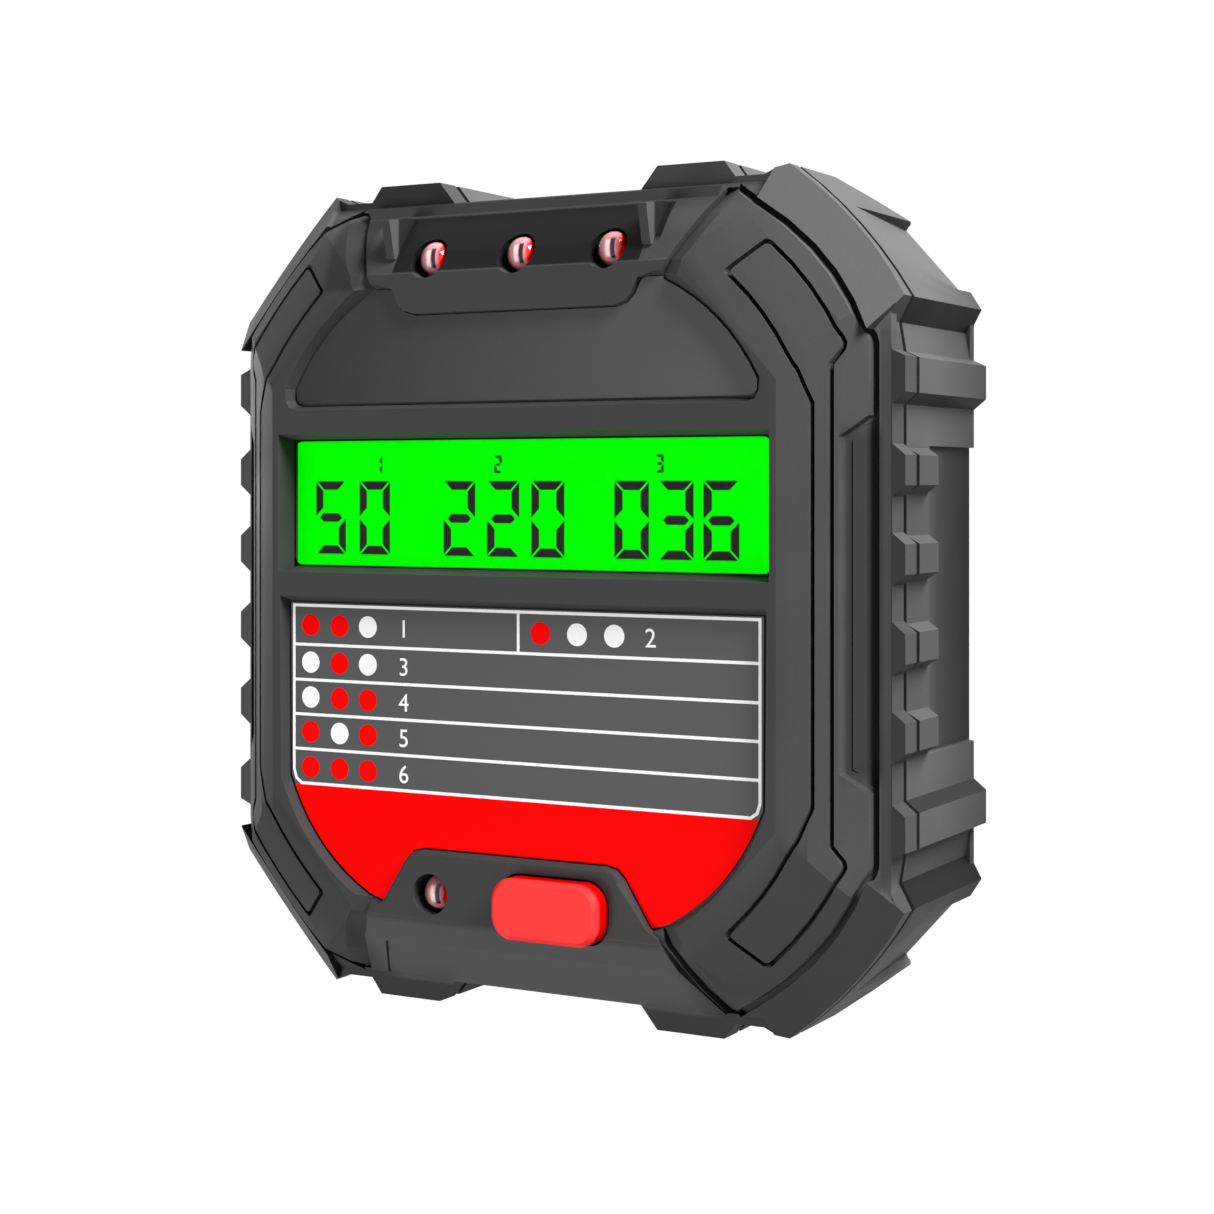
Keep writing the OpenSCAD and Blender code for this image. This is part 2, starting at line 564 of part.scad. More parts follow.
// Button and switch
module test_button() color("#ff2a2a") placed() translate([button_x, 0, button_z]) {
    slab(button_face_y - button_rise + 0.4, button_flange_y + eps) round_rect(button_w, button_h, button_r);
    hull() {
        slab(button_face_y - button_rise + 0.4, button_face_y - button_rise + 0.4 + eps)
            round_rect(button_w, button_h, button_r);
        slab(button_face_y - button_rise, button_face_y - button_rise + eps)
            round_rect(button_w - 0.8, button_h - 0.8, button_r - 0.4);
    }
    slab(button_flange_y, button_flange_y + 0.9) round_rect(flange_w, flange_h, button_r + 0.4);
    rod(0, 0, 2 * stem_r + 0.6, button_flange_y + 0.9 - eps, stem_tip_y - slide);
}
module switch_body() color("#222222") placed() translate([button_x, 0, button_z]) difference() {
    block(-switch_w / 2, switch_w / 2, board_y - switch_h, board_y, -switch_w / 2, switch_w / 2);
    rod(0, 0, 2 * (stem_r + 0.8), board_y - switch_h - 1, board_y - 0.9);
}
module switch_cover() color("silver") placed() translate([button_x, 0, button_z]) difference() {
    block(-switch_w / 2, switch_w / 2, board_y - switch_h - cover_t, board_y - switch_h,
        -switch_w / 2, switch_w / 2);
    rod(0, 0, 2 * (stem_r + slide), board_y - switch_h - 1, board_y);
}
module switch_plunger() color("#dddddd") placed() translate([button_x, 0, button_z]) {
    rod(0, 0, 2 * stem_r, stem_tip_y, board_y - switch_h + slide + eps);
    rod(0, 0, 2 * (stem_r + 0.6), board_y - switch_h + slide, board_y - switch_h + 0.65);
}
dome_rise = 1.3;
module switch_dome() color("#d8c8a0") placed() translate([button_x, board_y - 0.95, button_z])
    rotate([90, 0, 0]) rotate_extrude() polygon([[0, dome_rise - 0.1], [0, dome_rise], [1.3, 1], [2.3, 0],
        [2.15, 0], [1.2, 0.9]]);

// Board
module circuit_board() color("#1f6b3a") placed() difference() {
    slab(board_y, board_back) cavity_outline(lip_t + board_gap);
    for (sx = [-1, 1], sz = [-1, 1])
        rod(sx * screw_x, sz * screw_z, 2 * post_r + 0.8, board_y - 1, board_back + 1);
    for (sx = [-1, 1])
        rod(sx * board_post_x, board_post_z, board_screw_d + 0.4, board_y - 1, board_back + 1);
    lead_holes(lead_d + 0.3);
}
module controller_chip() color("#1a1a1a") placed() translate([-2, board_y, -9]) {
    block(-5, 5, -1.5, -0.1, -3.5, 3.5);
    for (i = [-3.5 : 3.5], s = [-1, 1])
        translate([i * 1.2, 0, s * 4]) block(-0.2, 0.2, -0.8, 0, -0.6, 0.6);
}
module supply_capacitor() color("#c8a020") placed() block(-9, 9, board_back, board_back + 6.4, 15, 23);
module smoothing_capacitor() color("#303050") placed() rod(-20.5, -6, 6.3, board_back, board_back + 6.5);
module test_resistor() color("#c8bfa8") placed() translate([0.5, board_back + 2.6, -22]) {
    rotate([0, 90, 0]) cylinder(d = 4.6, h = 13, center = true);
    rotate([0, 90, 0]) cylinder(d = 0.7, h = 15.4, center = true);
    for (s = [-1, 1]) rod(s * 7.7, 0, 0.8, -2.6, 0.3);
}
module rectifier() color("#202020") placed() block(12, 18, board_back, board_back + 3.2, -22.5, -16);
module test_triac() color("#202020") placed() block(14, 22, board_back, board_back + 4.5, 5, 9.2);
module fuse() color("#6a4a2a") placed() rod(-18.5, 10.5, 8.2, board_back, board_back + 6.6);

// Plug
module plug_insert() color("#3c3c3c") placed() difference() {
    union() {
        rod(0, 0, plug_d, floor_y - eps, plug_y);
        rod(0, 0, 2 * flange_r, flange_y, floor_y);
    }
    for (s = [-1, 1]) {
        rod(s * pin_pitch / 2, 0, 2 * (root_r + slide), flange_y - 1, plug_y + 1);
        rod(s * pin_pitch / 2, 0, 2 * (root_r + 0.8 + slide), flange_y - 1, flange_y + 1.5);
        block(-strap_w / 2 - 0.2, strap_w / 2 + 0.2, flange_y - 1, plug_y + 1,
            s > 0 ? plug_d / 2 - 2.6 : -plug_d / 2 - 1, s > 0 ? plug_d / 2 + 1 : 2.6 - plug_d / 2);
        block(s > 0 ? plug_d / 2 - 2.8 : -plug_d / 2 - 1, s > 0 ? plug_d / 2 + 1 : 2.8 - plug_d / 2,
            rear_y, plug_y + 1, -2.7, 2.7);
    }
    rod(0, earth_z, earth_bore_d + 2 * sleeve_wall + 2 * slide, flange_y - 1, sleeve_end);
    rod(0, earth_z, earth_bore_d + 0.4, sleeve_end - 1, plug_y + 1);
    for (a = [45, 225]) rod(retain_screw_r * cos(a), retain_screw_r * sin(a), retain_screw_d + 2 * slide,
        flange_y - 1, floor_y + 1);
}
module contact(s) placed() translate([s * pin_pitch / 2, 0, 0]) rotate([-90, 0, 0]) rotate_extrude()
    polygon([[0, tail_y], [tail_r, tail_y], [tail_r, flange_y], [root_r + 0.8, flange_y],
        [root_r + 0.8, flange_y + 1.5 - slide], [root_r, flange_y + 1.5 - slide], [root_r, plug_y],
        [pin_d / 2, plug_y], [pin_d / 2, plug_y + pin_len - 1.6], [pin_d / 2 - 0.5, plug_y + pin_len - 0.6],
        [pin_d / 2 - 1.4, plug_y + pin_len], [0, plug_y + pin_len]]);
module line_pin() color("silver") contact(1);
module neutral_pin() color("silver") contact(-1);
strap_z = plug_d / 2 - 2.5;
module earth_strap() color("#d8b060") placed() {
    block(-strap_w / 2, strap_w / 2, flange_y - strap_t, flange_y, -strap_z, strap_z);
    for (m = [0, 1]) mirror([0, 0, m]) across(-strap_w / 2, strap_w / 2)
        polygon([[flange_y - strap_t, strap_z - eps], [flange_y - strap_t, strap_z + strap_t],
            [rear_y + 2, strap_z + strap_t], [plug_y - 8, plug_d / 2 + 0.3], [plug_y - 3, strap_z + strap_t],
            [plug_y - 3, strap_z], [plug_y - 8, plug_d / 2 + 0.3 - strap_t], [rear_y + 2, strap_z],
            [flange_y, strap_z], [flange_y, strap_z - eps]]);
}
module earth_socket() color("#d8b060") placed() difference() {
    rod(0, earth_z, earth_bore_d + 2 * sleeve_wall, flange_y, sleeve_end);
    rod(0, earth_z, earth_bore_d, flange_y + 4, sleeve_end + 1);
}
module pin_retainer() color("#555555") placed() difference() {
    rod(0, 0, 2 * flange_r, retainer_y, flange_y);
    for (s = [-1, 1]) rod(s * pin_pitch / 2, 0, 2 * (tail_r + slide), retainer_y - 1, flange_y + 1);
    block(-strap_w / 2 - 0.1, strap_w / 2 + 0.1, flange_y - strap_t - slide, flange_y + 1,
        -strap_z - strap_t - 0.1, strap_z + strap_t + 0.1);
    rod(0, earth_wire_z, wire_d + 1.2, retainer_y - 1, flange_y);
    for (a = [45, 225]) rod(retain_screw_r * cos(a), retain_screw_r * sin(a), retain_screw_d + 2 * slide,
        retainer_y - 1, flange_y + 1);
}

// Screws
module screw(x, z, d, head_d, y_under, y_tip, head_h, dir) {
    rod(x, z, d, min(y_under, y_tip), max(y_under, y_tip));
    rod(x, z, head_d, dir > 0 ? y_under : y_under - head_h, dir > 0 ? y_under + head_h : y_under);
}
module retainer_screws() color("silver") placed() for (a = [45, 225])
    screw(retain_screw_r * cos(a), retain_screw_r * sin(a), retain_screw_d, small_head_d,
        retainer_y, rear_y - 0.6, 1.2, -1);
module board_screws() color("silver") placed() for (sx = [-1, 1])
    screw(sx * board_post_x, board_post_z, board_screw_d, small_head_d, board_back, board_y - 4.5, 1.3, 1);
module case_screws() color("#888888") placed() for (sx = [-1, 1], sz = [-1, 1])
    screw(sx * screw_x, sz * screw_z, screw_d, screw_head_d, rear_y - 5, cavity_y + 1.5, 2.2, 1);

// Wires, each a tube that leaves its contact and meets the board square
wire_rings = 12;
wire_sides = 8;
function wire_ring(a, b, i) = let (t = i / wire_rings, s = t * t * (3 - 2 * t), m = a + (b - a) * s)
    [for (k = [0 : wire_sides - 1])
        [m[0] + wire_d / 2 * cos(k * 45), a[1] + (b[1] - a[1]) * t, m[2] + wire_d / 2 * sin(k * 45)]];
module wire(a, b) placed() polyhedron(
    [for (i = [0 : wire_rings]) each wire_ring(a, b, i)],
    concat([[for (k = [0 : wire_sides - 1]) k]],
        [for (i = [0 : wire_rings - 1], k = [0 : wire_sides - 1])
            let (p = i * wire_sides + k, q = i * wire_sides + (k + 1) % wire_sides)
            [q, p, p + wire_sides, q + wire_sides]],
        [[for (k = [wire_sides - 1 : -1 : 0]) wire_rings * wire_sides + k]]));
module line_wire() color("#7a4a20") wire([pin_pitch / 2, tail_y, 0], [12, board_back, -5]);
module neutral_wire() color("#2050c0") wire([-pin_pitch / 2, tail_y, 0], [-12, board_back, -5]);
module earth_wire() color("#60a030")
    wire([0, flange_y - strap_t, earth_wire_z], [0, board_back, earth_wire_z - 2]);

front_case();
rear_case();
upper_label();
lower_label();
lcd_window();
lcd_glass();
lcd_frame();
light_guide();
backlight_leds();
zebra_strip();
left_led();
middle_led();
right_led();
trip_led();
led_leads();
led_spacers();
test_button();
switch_body();
switch_cover();
switch_plunger();
switch_dome();
circuit_board();
controller_chip();
supply_capacitor();
smoothing_capacitor();
test_resistor();
rectifier();
test_triac();
fuse();
plug_insert();
line_pin();
neutral_pin();
earth_strap();
earth_socket();
pin_retainer();
retainer_screws();
line_wire();
neutral_wire();
earth_wire();
board_screws();
case_screws();
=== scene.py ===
"""Looks of a plug-in outlet tester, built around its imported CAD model."""
import json
import math

import bmesh
import bpy
from bpy.props import BoolProperty, FloatProperty, FloatVectorProperty, PointerProperty
from mathutils import Matrix, Vector


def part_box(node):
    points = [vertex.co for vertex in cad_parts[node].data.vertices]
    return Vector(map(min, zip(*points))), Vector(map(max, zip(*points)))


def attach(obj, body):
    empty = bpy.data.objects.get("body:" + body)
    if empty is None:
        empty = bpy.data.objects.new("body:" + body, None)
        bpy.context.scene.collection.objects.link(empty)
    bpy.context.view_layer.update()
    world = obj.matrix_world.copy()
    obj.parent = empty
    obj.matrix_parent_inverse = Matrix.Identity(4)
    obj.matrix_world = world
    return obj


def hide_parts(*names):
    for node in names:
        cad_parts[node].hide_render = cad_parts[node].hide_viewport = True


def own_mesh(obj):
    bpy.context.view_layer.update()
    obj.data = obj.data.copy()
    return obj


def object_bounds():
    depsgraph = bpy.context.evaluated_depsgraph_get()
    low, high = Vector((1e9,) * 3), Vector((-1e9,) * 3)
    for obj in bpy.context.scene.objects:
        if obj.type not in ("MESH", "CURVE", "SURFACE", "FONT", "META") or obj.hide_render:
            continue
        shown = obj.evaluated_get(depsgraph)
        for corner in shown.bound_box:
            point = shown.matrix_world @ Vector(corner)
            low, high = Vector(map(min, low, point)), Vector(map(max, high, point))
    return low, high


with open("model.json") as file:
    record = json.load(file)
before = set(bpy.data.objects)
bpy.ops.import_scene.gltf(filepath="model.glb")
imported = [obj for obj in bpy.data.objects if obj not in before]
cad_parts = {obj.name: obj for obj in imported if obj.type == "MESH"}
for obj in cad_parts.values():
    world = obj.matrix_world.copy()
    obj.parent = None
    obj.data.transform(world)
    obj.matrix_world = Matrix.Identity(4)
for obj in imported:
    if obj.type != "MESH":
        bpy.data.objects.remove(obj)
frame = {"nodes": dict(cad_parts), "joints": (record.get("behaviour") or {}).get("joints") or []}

bl_info = {
    "name": "Outlet tester plug",
    "version": (1, 0, 0),
    "blender": (4, 5, 0),
    "location": "3D View > Sidebar > Tester",
    "description": "Finishes the shells, prints, display, lamps and plug of an outlet tester",
    "category": "Object",
}

CAD_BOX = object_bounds()
NODES = frame["nodes"]
MM = 0.001
# Depth of the label films' front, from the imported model
LABEL_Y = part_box("lower_label")[0].y


def srgb(code):
    """A colour written as six hex digits, as linear values."""
    parts = [int(code[i:i + 2], 16) / 255 for i in (0, 2, 4)]
    return tuple(c / 12.92 if c <= 0.04045 else ((c + 0.055) / 1.055) ** 2.4 for c in parts)


def colour(name, code, text):
    """A colour setting with its default."""
    return FloatVectorProperty(name=name, description=text, subtype="COLOR", size=3, min=0, max=1,
                               default=srgb(code))


def length(name, mm, text):
    """A length setting with its default in millimetres."""
    return FloatProperty(name=name, description=text, unit="LENGTH", precision=5, min=0,
                         default=mm * MM)


class ShellSettings(bpy.types.PropertyGroup):
    """Moulded shells."""
    plastic: colour("Plastic", "3f3f3f", "Colour of the moulded shells")
    grain: length("Grain", 0.17, "Size of the spark-eroded grain")
    edge: length("Edge radius", 0.16, "Radius that softens the moulded edges")
    housing: length("Housing radius", 0.55, "Radius of the button housing's rim")


class PrintSettings(bpy.types.PropertyGroup):
    """Printed films."""
    film: colour("Film", "565656", "Colour of the lower film's table")
    dark_film: colour("Upper film", "494949", "Colour of the upper film")
    red: colour("Red", "ff0000", "Colour of the red field and dots")
    white: colour("White", "fafafa", "Colour of the lines and white dots")
    line: length("Line width", 0.26, "Width of the table lines")
    dot: length("Dot", 1.88, "Diameter of a legend dot")
    ink: length("Ink", 0.02, "Thickness of the print")


class DisplaySettings(bpy.types.PropertyGroup):
    """Display."""
    light: colour("Backlight", "00ff00", "Colour of the lit display")
    segment: colour("Segments", "2b2827", "Colour of the dark segments")
    glow: FloatProperty(name="Glow", description="Strength of the backlight", default=0.95, min=0)
    digit: length("Digit height", 6.45, "Height of the large digits")
    opening: length("Opening", 23.4, "Half width of the display opening")
    bottom: length("Bottom", 2.2, "Height of the opening's lower edge")
    top: length("Top", 13.4, "Height of the opening's upper edge")
    # The dark border inside the opening is painted shadow
    border: length("Border", 0.16, "Width of the dark border inside the opening")
    corner: length("Corner", 0.7, "Radius of the border's inner corners")


class LampSettings(bpy.types.PropertyGroup):
    """Lamps."""
    lens: colour("Lens", "c47d84", "Colour of the clear lenses")
    # Painted red light on a lens's right edge
    core: colour("Core", "e0101a", "Colour of the lit lens edge")
    # A painted highlight: the bright bar in a lens
    painted_highlight: colour("Shine", "efd3d3", "Colour of the bright bar in a lens")
    radius: length("Radius", 1.5, "Radius of a lens")
    flange: length("Flange", 0.4, "How far the rim at a lens's foot stands out")


class ButtonSettings(bpy.types.PropertyGroup):
    """Push button."""
    red: colour("Red", "ff3838", "Colour of the button")
    # Painted shade on the button's sides
    side: colour("Side", "c41a16", "Tint of the button's sides")
    edge: length("Edge radius", 0.55, "Radius of the button's front edge")


class PlugSettings(bpy.types.PropertyGroup):
    """Plug and fasteners."""
    body: colour("Plug", "3d3d3d", "Colour of the round plug body")
    nickel: colour("Nickel", "b0ada5", "Colour of the plated contacts")
    steel: colour("Steel", "8d8d90", "Colour of the screws")
    head: length("Screw head", 4.8, "Diameter of a rear screw's head")
    head_height: length("Head height", 2.2, "Height of a rear screw's head")
    shank: length("Screw shank", 2.6, "Diameter of a rear screw's shank")


class StageSettings(bpy.types.PropertyGroup):
    """Floor, background and lights."""
    backdrop: colour("Backdrop", "ffffff", "Colour of the floor and background")
    fill: FloatProperty(name="Fill", description="Strength of the all-round light", default=0.08,
                        min=0)
    lamps: BoolProperty(name="Lamps", description="Adds the soft lamps", default=True)


SETTINGS = {"tester_shell": ShellSettings, "tester_print": PrintSettings,
            "tester_display": DisplaySettings, "tester_lamp": LampSettings,
            "tester_button": ButtonSettings, "tester_plug": PlugSettings,
            "tester_stage": StageSettings}


# Shader expressions

class Value:
    """A socket in a shader tree; expressions on it add Math nodes."""

    def __init__(self, tree, socket):
        self.tree = tree
        self.socket = socket

    def math(self, operation, *values):
        node = self.tree.nodes.new("ShaderNodeMath")
        node.operation = operation
        for socket, value in zip(node.inputs, values):
            feed(self.tree, socket, value)
        return Value(self.tree, node.outputs[0])

    def __add__(self, other): return self.math("ADD", self, other)
    def __radd__(self, other): return self.math("ADD", other, self)
    def __sub__(self, other): return self.math("SUBTRACT", self, other)
    def __rsub__(self, other): return self.math("SUBTRACT", other, self)
    def __mul__(self, other): return self.math("MULTIPLY", self, other)
    def __rmul__(self, other): return self.math("MULTIPLY", other, self)
    def __abs__(self): return self.math("ABSOLUTE", self)

    def most(self, other):
        """The larger of two values."""
        return self.math("MAXIMUM", self, other)


def feed(tree, socket, value):
    """Links a value to a socket, or sets the socket to it."""
    if isinstance(value, Value):
        tree.links.new(value.socket, socket)
    elif isinstance(value, bpy.types.NodeSocket):
        tree.links.new(value, socket)
    elif socket.type == "RGBA":
        socket.default_value = (*value[:3], 1)
    else:
        socket.default_value = value


class Finish:
    """A material under construction."""

    def __init__(self, name):
        self.material = bpy.data.materials.new(name)
        self.material.use_nodes = True
        self.tree = self.material.node_tree
        self.tree.nodes.clear()
        self.out = self.tree.nodes.new("ShaderNodeOutputMaterial")
        self.place = self.add("ShaderNodeTexCoord").outputs["Object"]

    def add(self, kind, settings=None, inputs=None):
        """Any node: its settings first, then the values or links of its sockets."""
        node = self.tree.nodes.new(kind)
        for key, value in (settings or {}).items():
            setattr(node, key, value)
        for key, value in (inputs or {}).items():
            feed(self.tree, node.inputs[key], value)
        return node

    def noise(self, size, detail=2.0, rough=0.5, seed=0.0):
        """Noise of a given feature size in metres, about 0 to 1."""
        node = self.add("ShaderNodeTexNoise", {"noise_dimensions": "4D"},
                        {"Vector": self.place, "Scale": 1 / size, "Detail": detail,
                         "Roughness": rough, "W": seed})
        return Value(self.tree, node.outputs["Fac"])

    def span(self, value, low, high, to_low=0.0, to_high=1.0):
        """A value mapped from one range to another and held inside it."""
        node = self.add("ShaderNodeMapRange", {"clamp": True},
                        {"Value": value, "From Min": low, "From Max": high, "To Min": to_low,
                         "To Max": to_high})
        return Value(self.tree, node.outputs["Result"])

    def above(self, value, start, full):
        """0 up to one place in millimetres, and 1 from the next place on."""
        return self.span(value, start * MM, full * MM)

    def below(self, value, full, end):
        """1 up to one place in millimetres, and 0 from the next place on."""
        return self.span(value, full * MM, end * MM, 1, 0)

    def axis(self, name):
        """One axis of the object's coordinates."""
        node = self.add("ShaderNodeSeparateXYZ", None, {"Vector": self.place})
        return Value(self.tree, node.outputs[name])

    def mix(self, factor, first, second, blend="MIX"):
        """Two colours mixed."""
        node = self.add("ShaderNodeMix", {"data_type": "RGBA", "blend_type": blend})
        feed(self.tree, node.inputs["Factor"], factor)
        feed(self.tree, node.inputs["A"], first)
        feed(self.tree, node.inputs["B"], second)
        return next(s for s in node.outputs if s.type == "RGBA")

    def bump(self, height, distance, strength=1.0):
        """A normal from a height."""
        return self.add("ShaderNodeBump", None, {"Height": height, "Distance": distance,
                                                 "Strength": strength}).outputs["Normal"]

    def surface(self, **inputs):
        """The principled shader, whose sockets are named with _ for a space."""
        shader = self.add("ShaderNodeBsdfPrincipled", None,
                          {key.replace("_", " "): value for key, value in inputs.items()})
        self.tree.links.new(shader.outputs["BSDF"], self.out.inputs["Surface"])
        return self.material


def shade(tint, factor):
    """A colour made lighter or darker."""
    return tuple(min(1, c * factor) for c in tint[:3])


def moulded(name, tint, grain=0.17 * MM, depth=0.012 * MM, rough=0.5, spread=0.06, painted_shading=None):
    """Moulded plastic: fine eroded grain, slow colour drift and a patchy sheen.
    Its shading argument takes the finish and gives the painted light and shade at a place, a factor
    on the plastic's colour."""
    f = Finish(name)
    fine = f.noise(grain, 1.5, 0.55)
    slow = f.noise(7 * MM, 3, 0.5, 3)
    drift = f.span(slow * 0.6 + fine * 0.4, 0.35, 0.65)
    base = f.mix(drift, shade(tint, 1 - spread), shade(tint, 1 + spread))
    if painted_shading:
        base = f.mix(1.0, base, painted_shading(f), "MULTIPLY")
    gloss = f.span(slow, 0.3, 0.7, rough - 0.04, rough + 0.05)
    return f.surface(Base_Color=base, Roughness=gloss, Normal=f.bump(fine, depth, 0.6),
                     Specular_IOR_Level=0.04)


def metal(name, tint, rough=0.25, brushed=(1, 1, 1), spread=0.08):
    """Plated or bare metal with fine handling marks."""
    f = Finish(name)
    turned = f.add("ShaderNodeMapping", None, {"Vector": f.place, "Scale": brushed}).outputs[0]
    marks = f.add("ShaderNodeTexNoise", None, {"Vector": turned, "Scale": 2200, "Detail": 3})
    wear = f.noise(2.5 * MM, 3)
    line = Value(f.tree, marks.outputs["Fac"])
    base = f.mix(f.span(wear, 0.3, 0.7), shade(tint, 1 - spread), shade(tint, 1 + spread))
    return f.surface(Base_Color=base, Metallic=1.0,
                     Roughness=f.span(line * 0.5 + wear * 0.5, 0.3, 0.7, rough - 0.06, rough + 0.1),
                     Normal=f.bump(line, 0.004 * MM, 0.35))


# Mesh helpers

# Distance within which a CAD mesh's points are one, in metres, and angles in degrees: between faces
# that count as one plane, of a rim worth rounding, and of an edge that stays sharp
MERGE = 0.002 * MM
FLAT = 0.6
RIM_ANGLE = 60
SHARP = 35


def mesh_object(name, bm, material):
    """A new object from a bmesh."""
    mesh = bpy.data.meshes.new(name)
    bm.to_mesh(mesh)
    bm.free()
    obj = bpy.data.objects.new(name, mesh)
    bpy.context.scene.collection.objects.link(obj)
    if material:
        mesh.materials.append(material)
    return obj


def prism(bm, outline, y_front, y_back):
    """A flat piece in the face plane, from a closed outline of (x, z) points."""
    back = [bm.verts.new((x, y_back, z)) for x, z in outline]
    front = [bm.verts.new((x, y_front, z)) for x, z in outline]
    faces = [bm.faces.new(front), bm.faces.new(list(reversed(back)))]
    for i in range(len(outline)):
        j = (i + 1) % len(outline)
        faces.append(bm.faces.new((front[j], front[i], back[i], back[j])))
    bmesh.ops.recalc_face_normals(bm, faces=faces)


def band(bm, first, second, front, back, closed):
    """A flat band between two rows of (x, z) points in millimetres, a ring if closed."""
    rows = [[bm.verts.new((x * MM, y, z * MM)) for x, z in row]
            for row, y in ((first, front), (second, front), (second, back), (first, back))]
    count = len(first)
    faces = []
    for a, b in zip(rows, rows[1:] + rows[:1]):
        for i in range(count if closed else count - 1):
            j = (i + 1) % count
            faces.append(bm.faces.new((a[i], a[j], b[j], b[i])))
    if not closed:
        faces += [bm.faces.new([row[end] for row in rows]) for end in (0, -1)]
    bmesh.ops.recalc_face_normals(bm, faces=faces)


def convert(obj):
    """Turns an object with modifiers into a plain mesh."""
    graph = bpy.context.evaluated_depsgraph_get()
    made = bpy.data.meshes.new_from_object(obj.evaluated_get(graph))
    obj.modifiers.clear()
    old = obj.data
    obj.data = made
    bpy.data.meshes.remove(old)
    return obj


def settle(obj, body, slot, *nodes):
    """Gives a finished piece its body and hides the nodes it stands for; its slot argument is not
    used.
    """
    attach(obj, body)
    if nodes:
        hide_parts(*nodes)
    return obj


def softened(node, name, edge, segments, material, angle=22, rim=None, rim_edge=0):
    """A copy of a CAD node with its edges rounded. Edges between points that rim picks are rounded
    by rim_edge."""
    bm = bmesh.new()
    bm.from_mesh(NODES[node].data)
    bmesh.ops.remove_doubles(bm, verts=bm.verts, dist=MERGE)
    bmesh.ops.dissolve_limit(bm, angle_limit=math.radians(FLAT), verts=bm.verts, edges=bm.edges)
    if rim:
        edges = [e for e in bm.edges if len(e.link_faces) == 2 and e.is_convex
                 and e.calc_face_angle() > math.radians(RIM_ANGLE)
                 and all(rim(v.co) for v in e.verts)]
        bmesh.ops.bevel(bm, geom=edges, offset=rim_edge, offset_type="OFFSET", segments=4,
                        profile=0.5, affect="EDGES", clamp_overlap=True)
    obj = mesh_object(name, bm, material)
    bevel = obj.modifiers.new("edge", "BEVEL")
    bevel.width = edge
    bevel.segments = segments
    bevel.limit_method = "ANGLE"
    bevel.angle_limit = math.radians(angle)
    bevel.use_clamp_overlap = True
    convert(obj)
    obj.data.polygons.foreach_set("use_smooth", [True] * len(obj.data.polygons))
    obj.data.set_sharp_from_angle(angle=math.radians(SHARP))
    flat = obj.modifiers.new("flat faces", "WEIGHTED_NORMAL")
    flat.keep_sharp = True
    return convert(obj)


def dress(material, *nodes):
    """Gives CAD nodes a material."""
    for node in nodes:
        mesh = NODES[node].data
        mesh.materials.clear()
        mesh.materials.append(material)
        mesh.polygons.foreach_set("material_index", [0] * len(mesh.polygons))


# Geometry Nodes

class Tree:
    """A Geometry Nodes tree under construction."""

    def __init__(self, name, inputs):
        self.group = bpy.data.node_groups.new(name, "GeometryNodeTree")
        face = self.group.interface
        face.new_socket("Geometry", in_out="INPUT", socket_type="NodeSocketGeometry")
        for label, kind, value in inputs:
            face.new_socket(label, in_out="INPUT", socket_type=kind).default_value = value
        face.new_socket("Geometry", in_out="OUTPUT", socket_type="NodeSocketGeometry")
        self.given = self.group.nodes.new("NodeGroupInput").outputs
        self.result = self.group.nodes.new("NodeGroupOutput")

    def add(self, kind, settings=None, inputs=None):
        """Any node: its settings first, then the values or links of its sockets."""
        node = self.group.nodes.new(kind)
        for key, value in (settings or {}).items():
            setattr(node, key, value)
        for key, value in (inputs or {}).items():
            if isinstance(value, bpy.types.NodeSocket):
                self.group.links.new(value, node.inputs[key])
            else:
                node.inputs[key].default_value = value
        return node

    def close(self, geometry, material):
        """Ends the tree in Realize Instances and Set Material."""
        real = self.add("GeometryNodeRealizeInstances", None, {"Geometry": geometry})
        last = self.add("GeometryNodeSetMaterial", None,
                        {"Geometry": real.outputs[0], "Material": material})
        self.group.links.new(last.outputs[0], self.result.inputs[0])

    def apply(self, obj, values):
        """Runs the tree on an object and turns the result into a plain mesh."""
        modifier = obj.modifiers.new(self.group.name, "NODES")
        modifier.node_group = self.group
        for item in self.group.interface.items_tree:
            if item.in_out == "INPUT" and item.name in values:
                modifier[item.identifier] = values[item.name]
        return convert(obj)


def points_object(name, places):
    """An object that holds only points."""
    bm = bmesh.new()
    for place in places:
        bm.verts.new(place)
    return mesh_object(name, bm, None)


def dot_tree(material):
    """Round printed dots on points, each a low disc that faces the front."""
    tree = Tree("legend dots", [("Diameter", "NodeSocketFloat", 0.00188),
                                ("Thickness", "NodeSocketFloat", 0.00002)])
    half = tree.add("ShaderNodeMath", {"operation": "MULTIPLY"},
                    {0: tree.given["Diameter"], 1: 0.5})
    disc = tree.add("GeometryNodeMeshCylinder", {"fill_type": "NGON"},
                    {"Vertices": 40, "Radius": half.outputs[0], "Depth": tree.given["Thickness"]})
    turned = tree.add("GeometryNodeTransform", None,
                      {"Geometry": disc.outputs["Mesh"], "Rotation": (math.pi / 2, 0, 0)})
    spread = tree.add("GeometryNodeInstanceOnPoints", None,
                      {"Points": tree.given["Geometry"], "Instance": turned.outputs[0]})
    tree.close(spread.outputs[0], material)
    return tree


